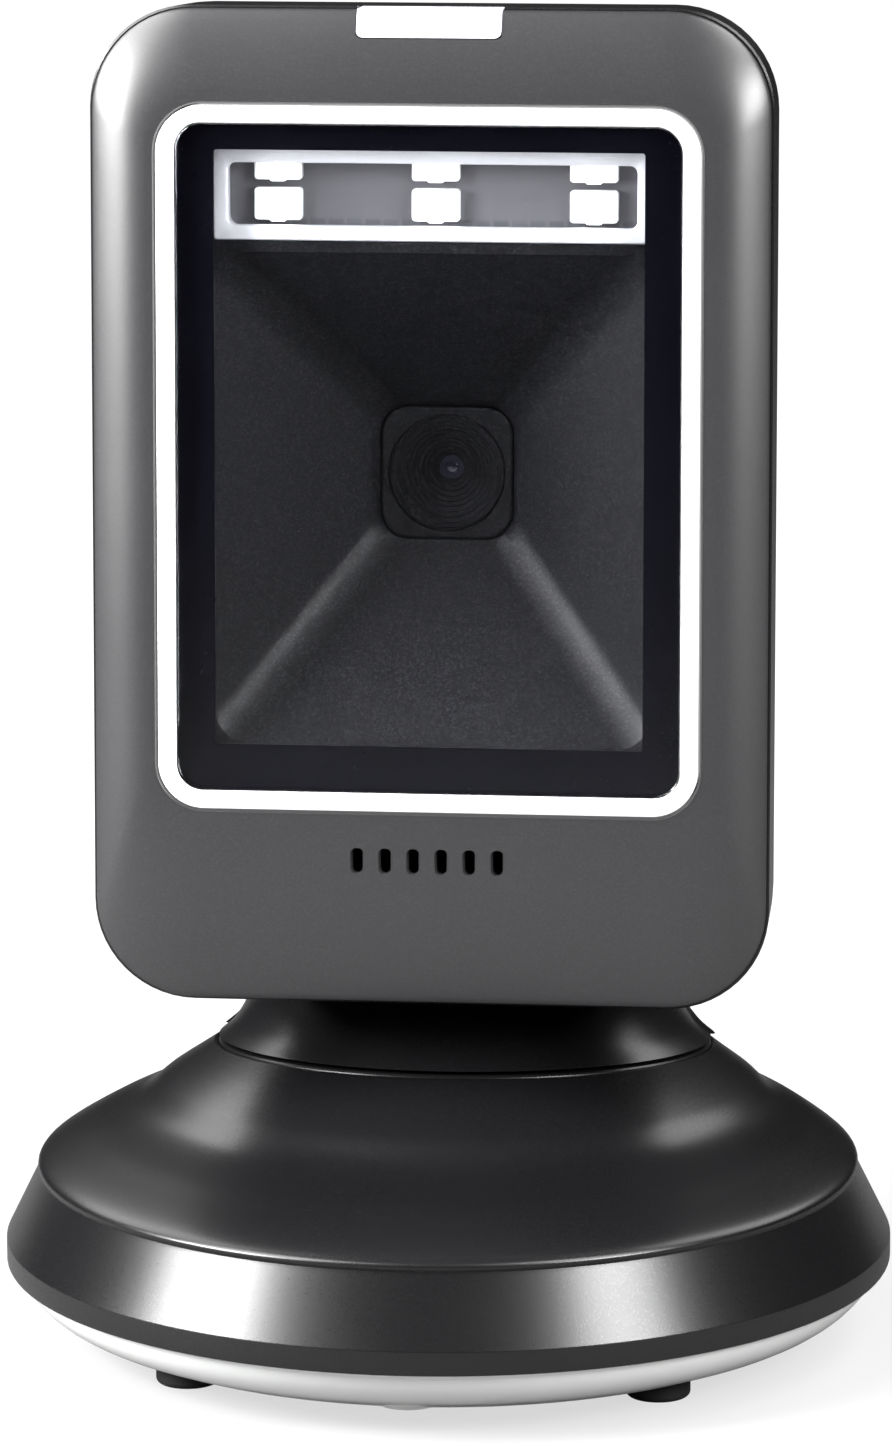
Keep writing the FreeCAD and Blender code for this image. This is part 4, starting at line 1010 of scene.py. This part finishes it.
@dataclass
class Optics:
    """What shows behind the glass: the lamp bay, the well, the lens block and the lens."""

    clear_width: float = 44.7
    clear_height: float = 62.1
    clear_rise: float = 1.0
    bay_depth: float = 5.0
    bay: tuple[float, float] = (22.4, 33.4)
    bay_back: float = 9.6
    bay_cut: tuple[float, float, float] = (42.6, 6.5, 27.2)
    lamp: tuple[float, float, float] = (5.0, 3.4, 1.2)
    lamp_pitch: float = 16.5
    lamp_rows: tuple[float, float] = (25.9, 30.1)
    well_wall: float = 1.2
    well_corner: float = 3.6
    lens_z: float = -3.4
    block_width: float = 14.0
    block_corner: float = 3.0
    block_depth: float = 19.0
    block_length: float = 9.0
    cone_radius: float = 6.3
    cone_end: float = 1.5
    cone_length: float = 5.0
    cone_steps: int = 10

    def build_lamp_frame(self, shop: Workshop, place: Matrix) -> None:
        """Build the bright frame round the lamps."""
        low, high = self.bay
        middle = (low + high) / 2
        width = self.clear_width + 1.0
        cut_w, cut_h, cut_z = self.bay_cut

        def outside(inward: float, depth: float) -> Ring:
            """Outline of the frame's outer side."""
            return rounded_ring(width - 2 * inward, high - low - 2 * inward, 0.35, depth, middle, side=6)

        def opening(outward: float, depth: float) -> Ring:
            """Outline of the opening."""
            return rounded_ring(cut_w + 2 * outward, cut_h + 2 * outward, 0.8 + outward, depth, cut_z, side=6)

        near = self.bay_depth
        rings = [outside(0, self.bay_back), outside(0, near + 0.15), outside(0.15, near),
                 opening(0.18, near), opening(0.06, near + 0.07), opening(0.0, near + 0.25),
                 opening(0.0, near + 1.2), opening(0.4, near + 1.3), opening(0.4, self.bay_back)]
        bay = skin("lamp_bay_frame", rings, Ends.LOOPED, place)
        smooth(bay)
        shop.deliver(bay, "silver_plastic", Body.HEAD, "lamp_frame")

    def build_lamps(self, shop: Workshop, place: Matrix) -> None:
        """Build the six lamps, each a white cup with a bright crowned block in it."""
        width, height, thick = self.lamp
        back = self.bay_back
        cups, blocks = [], []
        for row in self.lamp_rows:
            for x in (-self.lamp_pitch, 0.0, self.lamp_pitch):

                def at(w: float, h: float, corner: float, depth: float, down: float = 0.0) -> Ring:
                    """Outline of one part of the lamp."""
                    ring = rounded_ring(w, h, corner, depth, row - down, arc=4, side=3)
                    return [point + Vector((x, 0, 0)) for point in ring]

                cups.append([at(width, height, 0.4, back), at(width, height, 0.4, back - thick + 0.08),
                             at(width - 0.16, height - 0.16, 0.34, back - thick),
                             at(width - 0.44, height - 0.44, 0.24, back - thick),
                             at(width - 0.56, height - 0.56, 0.2, back - thick + 0.1),
                             at(width - 0.6, height - 0.6, 0.2, back - 0.3), at(0.4, 0.3, 0.1, back - 0.3)])
                blocks.append([at(3.5, height - 0.7, 0.3, back - 0.3),
                               at(3.5, height - 0.5, 0.3, back - thick + 0.1),
                               at(3.3, height - 0.5, 0.4, back - thick - 0.12),
                               at(2.6, height - 1.1, 0.4, back - thick - 0.25)])
                blocks.append([at(1.7, 0.8, 0.25, back - thick + 0.1, height / 2 - 0.25),
                               at(1.7, 0.8, 0.25, back - thick - 0.05, height / 2 - 0.25),
                               at(1.3, 0.5, 0.2, back - thick - 0.15, height / 2 - 0.25)])
        cup = skins("lamp_cups", cups, Ends.CAPPED, place)
        smooth(cup, 40.0)
        shop.deliver(cup, "white_plastic", Body.HEAD)
        glow = skins("lamp_blocks", blocks, Ends.CAPPED, place)
        smooth(glow, 40.0)
        shop.deliver(glow, "lamp_lens", Body.HEAD, "lamps")

    def build_well(self, shop: Workshop, place: Matrix) -> None:
        """Build the tapering well that shields the lens from side light."""
        low = self.clear_rise - self.clear_height / 2 - 0.4
        high = self.bay[0] - self.well_wall - 0.1
        width = self.clear_width + 0.8
        throat = self.block_width + 0.4
        near, far = self.bay_depth, self.block_depth

        def at(share: float, grow: float, depth: float, corner: float) -> Ring:
            """Outline of the well between its mouth (share 0) and its throat (share 1)."""
            return rounded_ring(blend_number(width, throat, share) + 2 * grow,
                                blend_number(high - low, throat, share) + 2 * grow, corner, depth,
                                blend_number((high + low) / 2, self.lens_z, share), arc=12, side=12)

        rings = [at(0, 1.2, near, 0.5), at(0, 0.12, near, self.well_corner)]
        for step in range(17):
            share = step / 16
            rings.append(at(share, 0.0, blend_number(near + 0.12, far, share),
                            blend_number(self.well_corner, self.block_corner, share)))
        rings += [at(1, -0.08, far + 0.3, self.block_corner), at(1, -0.08, far + 4.0, self.block_corner),
                  at(1, 1.2, far + 4.0, self.block_corner + 1), at(1, 1.2, far, self.block_corner + 1)]
        well = skin("light_well_walls", rings, Ends.LOOPED, place)
        smooth(well, 40.0)
        shop.deliver(well, "black_plastic", Body.HEAD, "light_well")

    def build_lens_block(self, shop: Workshop, place: Matrix) -> None:
        """Build the lens block with its stepped cone, and the lens at the end of the cone."""
        near = self.block_depth
        back = near + self.block_length

        def square(inward: float, depth: float) -> Ring:
            """Outline of the block."""
            return rounded_ring(self.block_width - 2 * inward, self.block_width - 2 * inward,
                                self.block_corner - inward, depth, self.lens_z, arc=16, side=8)

        pattern = square(0, near)

        def circle(radius: float, depth: float) -> Ring:
            """Circle whose points match the block's outline."""
            return round_ring_like(pattern, radius, depth, self.lens_z)

        rings = [square(0, back), square(0, near + 0.3), square(0.08, near + 0.1), square(0.26, near),
                 circle(self.cone_radius, near), circle(self.cone_radius, near + 0.7),
                 circle(self.cone_radius - 0.22, near + 0.7), circle(self.cone_radius - 0.22, near + 0.12)]
        start = self.cone_radius - 0.3
        for step in range(self.cone_steps):
            radius = blend_number(start, self.cone_end, step / (self.cone_steps - 1))
            depth = near + 0.08 + (self.cone_length - 0.1) * step / self.cone_steps
            deeper = near + 0.08 + (self.cone_length - 0.1) * (step + 1) / self.cone_steps
            rings += [circle(radius, depth), circle(radius - 0.05, depth + 0.06), circle(radius - 0.08, deeper)]
        rings.append(circle(0.9, near + self.cone_length + 0.2))
        rings += [circle(0.9, back), circle(4.0, back)]
        stepped = skin("lens_block_body", rings, Ends.LOOPED, place)
        smooth(stepped, 25.0)
        shop.deliver(stepped, "black_plastic", Body.HEAD, "lens_block")
        front = near + self.cone_length
        lens_rings = [circle(1.4, front + 1.2), circle(1.4, front + 0.1), circle(1.3, front),
                      circle(0.8, front), circle(0.74, front + 0.12)]
        lens_rings += [circle(0.7 * math.cos(a), front + 0.12 - 0.2 * math.sin(a))
                       for a in (math.pi / 2 * step / 6 for step in range(6))]
        lens = skin("lens_dome", lens_rings, Ends.CAPPED, place)
        smooth(lens)
        shop.deliver(lens, "lens_glass", Body.HEAD, "lens")

    def build(self, shop: Workshop, place: Matrix) -> None:
        """Build everything behind the glass."""
        self.build_lamp_frame(shop, place)
        self.build_lamps(shop, place)
        self.build_well(shop, place)
        self.build_lens_block(shop, place)


# --- the studio -------------------------------------------------------------------------------------------
@dataclass(frozen=True)
class Softbox:
    """One rectangular studio light, placed by its angles about the object."""

    name: str
    azimuth: float
    elevation: float
    distance: float
    width: float
    height: float
    power: float
    colour: Colour = (1.0, 1.0, 1.0)
    aim: tuple[float, float, float] = (0.0, 0.0, 0.08)

    def build(self) -> None:
        """Place the light."""
        light = bpy.data.lights.new(self.name, "AREA")
        light.shape = "RECTANGLE"
        light.size = self.width
        light.size_y = self.height
        light.energy = self.power
        light.color = self.colour
        lamp = bpy.data.objects.new(self.name, light)
        turn, lift = math.radians(self.azimuth), math.radians(self.elevation)
        away = Vector((math.sin(turn) * math.cos(lift), -math.cos(turn) * math.cos(lift), math.sin(lift)))
        lamp.location = Vector(self.aim) + away * self.distance
        lamp.rotation_euler = away.to_track_quat("Z", "Y").to_euler()
        lamp.visible_camera = False
        bpy.context.scene.collection.objects.link(lamp)


@dataclass
class Studio:
    """The camera, the pale floor and the soft lights."""

    target: tuple[float, float, float] = (0.0, 0.0, 0.0731)
    distance: float = 0.787
    azimuth: float = 6.5
    elevation: float = 11.2
    roll: float = -0.25
    lens: float = 123.4
    sensor: float = 24.0
    shift: float = -0.0444
    world_tone: float = 0.012
    floor_glow: float = 1.0
    floor_dim: float = 0.62
    dim_reach: float = 0.30
    lights: tuple[Softbox, ...] = (
        Softbox("left_softbox", -64.0, 46.0, 0.62, 0.44, 0.40, 6.5),
        Softbox("left_low_softbox", -60.0, 19.0, 0.36, 0.18, 0.14, 3.8),
        Softbox("right_softbox", 57.0, 50.0, 0.65, 0.32, 0.34, 3.2),
        Softbox("right_low_softbox", 52.0, 19.0, 0.38, 0.14, 0.12, 1.6),
        Softbox("left_rear_softbox", -132.0, 42.0, 0.60, 0.36, 0.36, 1.6),
        Softbox("right_rear_softbox", 132.0, 42.0, 0.60, 0.36, 0.36, 1.4),
    )

    def build_camera(self) -> None:
        """Place the camera."""
        turn, lift = math.radians(self.azimuth), math.radians(self.elevation)
        away = Vector((math.sin(turn) * math.cos(lift), -math.cos(turn) * math.cos(lift), math.sin(lift)))
        data = bpy.data.cameras.new("camera")
        data.sensor_fit = "VERTICAL"
        data.sensor_height = self.sensor
        data.lens = self.lens
        data.shift_y = self.shift
        data.clip_start = 0.01
        camera = bpy.data.objects.new("camera", data)
        camera.location = Vector(self.target) + away * self.distance
        facing = away.to_track_quat("Z", "Y").to_matrix().to_4x4()
        camera.rotation_euler = (facing @ Matrix.Rotation(math.radians(self.roll), 4, "Z")).to_euler()
        bpy.context.scene.collection.objects.link(camera)
        bpy.context.scene.camera = camera

    def build_floor(self) -> None:
        """Build the pale round sheet, with a rim that curves up all around."""
        path = rounded_path([(1.0, 0.0), (3600.0, 0.0), (3600.0, 900.0)], [600.0], 16)
        bm = bmesh.new()
        add_skin(bm, [oval_ring(r, r, z) for r, z in path], Ends.OPEN)
        bmesh.ops.contextual_create(bm, geom=[edge for edge in bm.edges if edge.calc_length() < 0.2])
        floor = into_mesh("floor", bm, Matrix())
        floor.data.shade_smooth()
        material = bpy.data.materials.new("pale_sheet")
        material.use_nodes = True
        shader = material.node_tree.nodes["Principled BSDF"]
        shader.inputs["Base Color"].default_value = (0.14, 0.14, 0.14, 1.0)
        shader.inputs["Roughness"].default_value = 0.8
        shader.inputs["Emission Color"].default_value = (1.0, 1.0, 1.0, 1.0)
        tree = material.node_tree
        where = tree.nodes.new("ShaderNodeTexCoord")
        spread = tree.nodes.new("ShaderNodeVectorMath")
        spread.operation = "SCALE"
        spread.inputs["Scale"].default_value = 1.0 / self.dim_reach
        fall = tree.nodes.new("ShaderNodeTexGradient")
        fall.gradient_type = "SPHERICAL"
        level = tree.nodes.new("ShaderNodeMapRange")
        level.inputs["To Min"].default_value = self.floor_glow
        level.inputs["To Max"].default_value = self.floor_dim
        rays = tree.nodes.new("ShaderNodeLightPath")
        glow = tree.nodes.new("ShaderNodeMath")
        glow.operation = "MULTIPLY"
        tree.links.new(where.outputs["Object"], spread.inputs[0])
        tree.links.new(spread.outputs["Vector"], fall.inputs["Vector"])
        tree.links.new(fall.outputs["Fac"], level.inputs["Value"])
        tree.links.new(level.outputs["Result"], glow.inputs[0])
        tree.links.new(rays.outputs["Is Camera Ray"], glow.inputs[1])
        tree.links.new(glow.outputs["Value"], shader.inputs["Emission Strength"])
        floor.data.materials.append(material)

    def build(self) -> None:
        """Build the whole studio."""
        self.build_camera()
        self.build_floor()
        for light in self.lights:
            light.build()
        world = bpy.data.worlds.new("world")
        world.use_nodes = True
        tone = self.world_tone
        world.node_tree.nodes["Background"].inputs["Color"].default_value = (tone, tone, tone * 1.02, 1.0)
        bpy.context.scene.world = world
        bpy.context.scene.view_settings.view_transform = "Standard"


def main() -> None:
    """Build every sub-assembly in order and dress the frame."""
    logging.basicConfig(level=logging.INFO, format="%(message)s")
    shop = Workshop()
    Base().build(shop)
    Neck().build(shop)
    head = HeadShells()
    head.build(shop)
    WindowTrim().build(shop, head.place)
    Optics().build(shop, head.place)
    shop.dress_frame()
    Studio().build()
    bpy.context.view_layer.update()


if __name__ == "__main__":
    main()
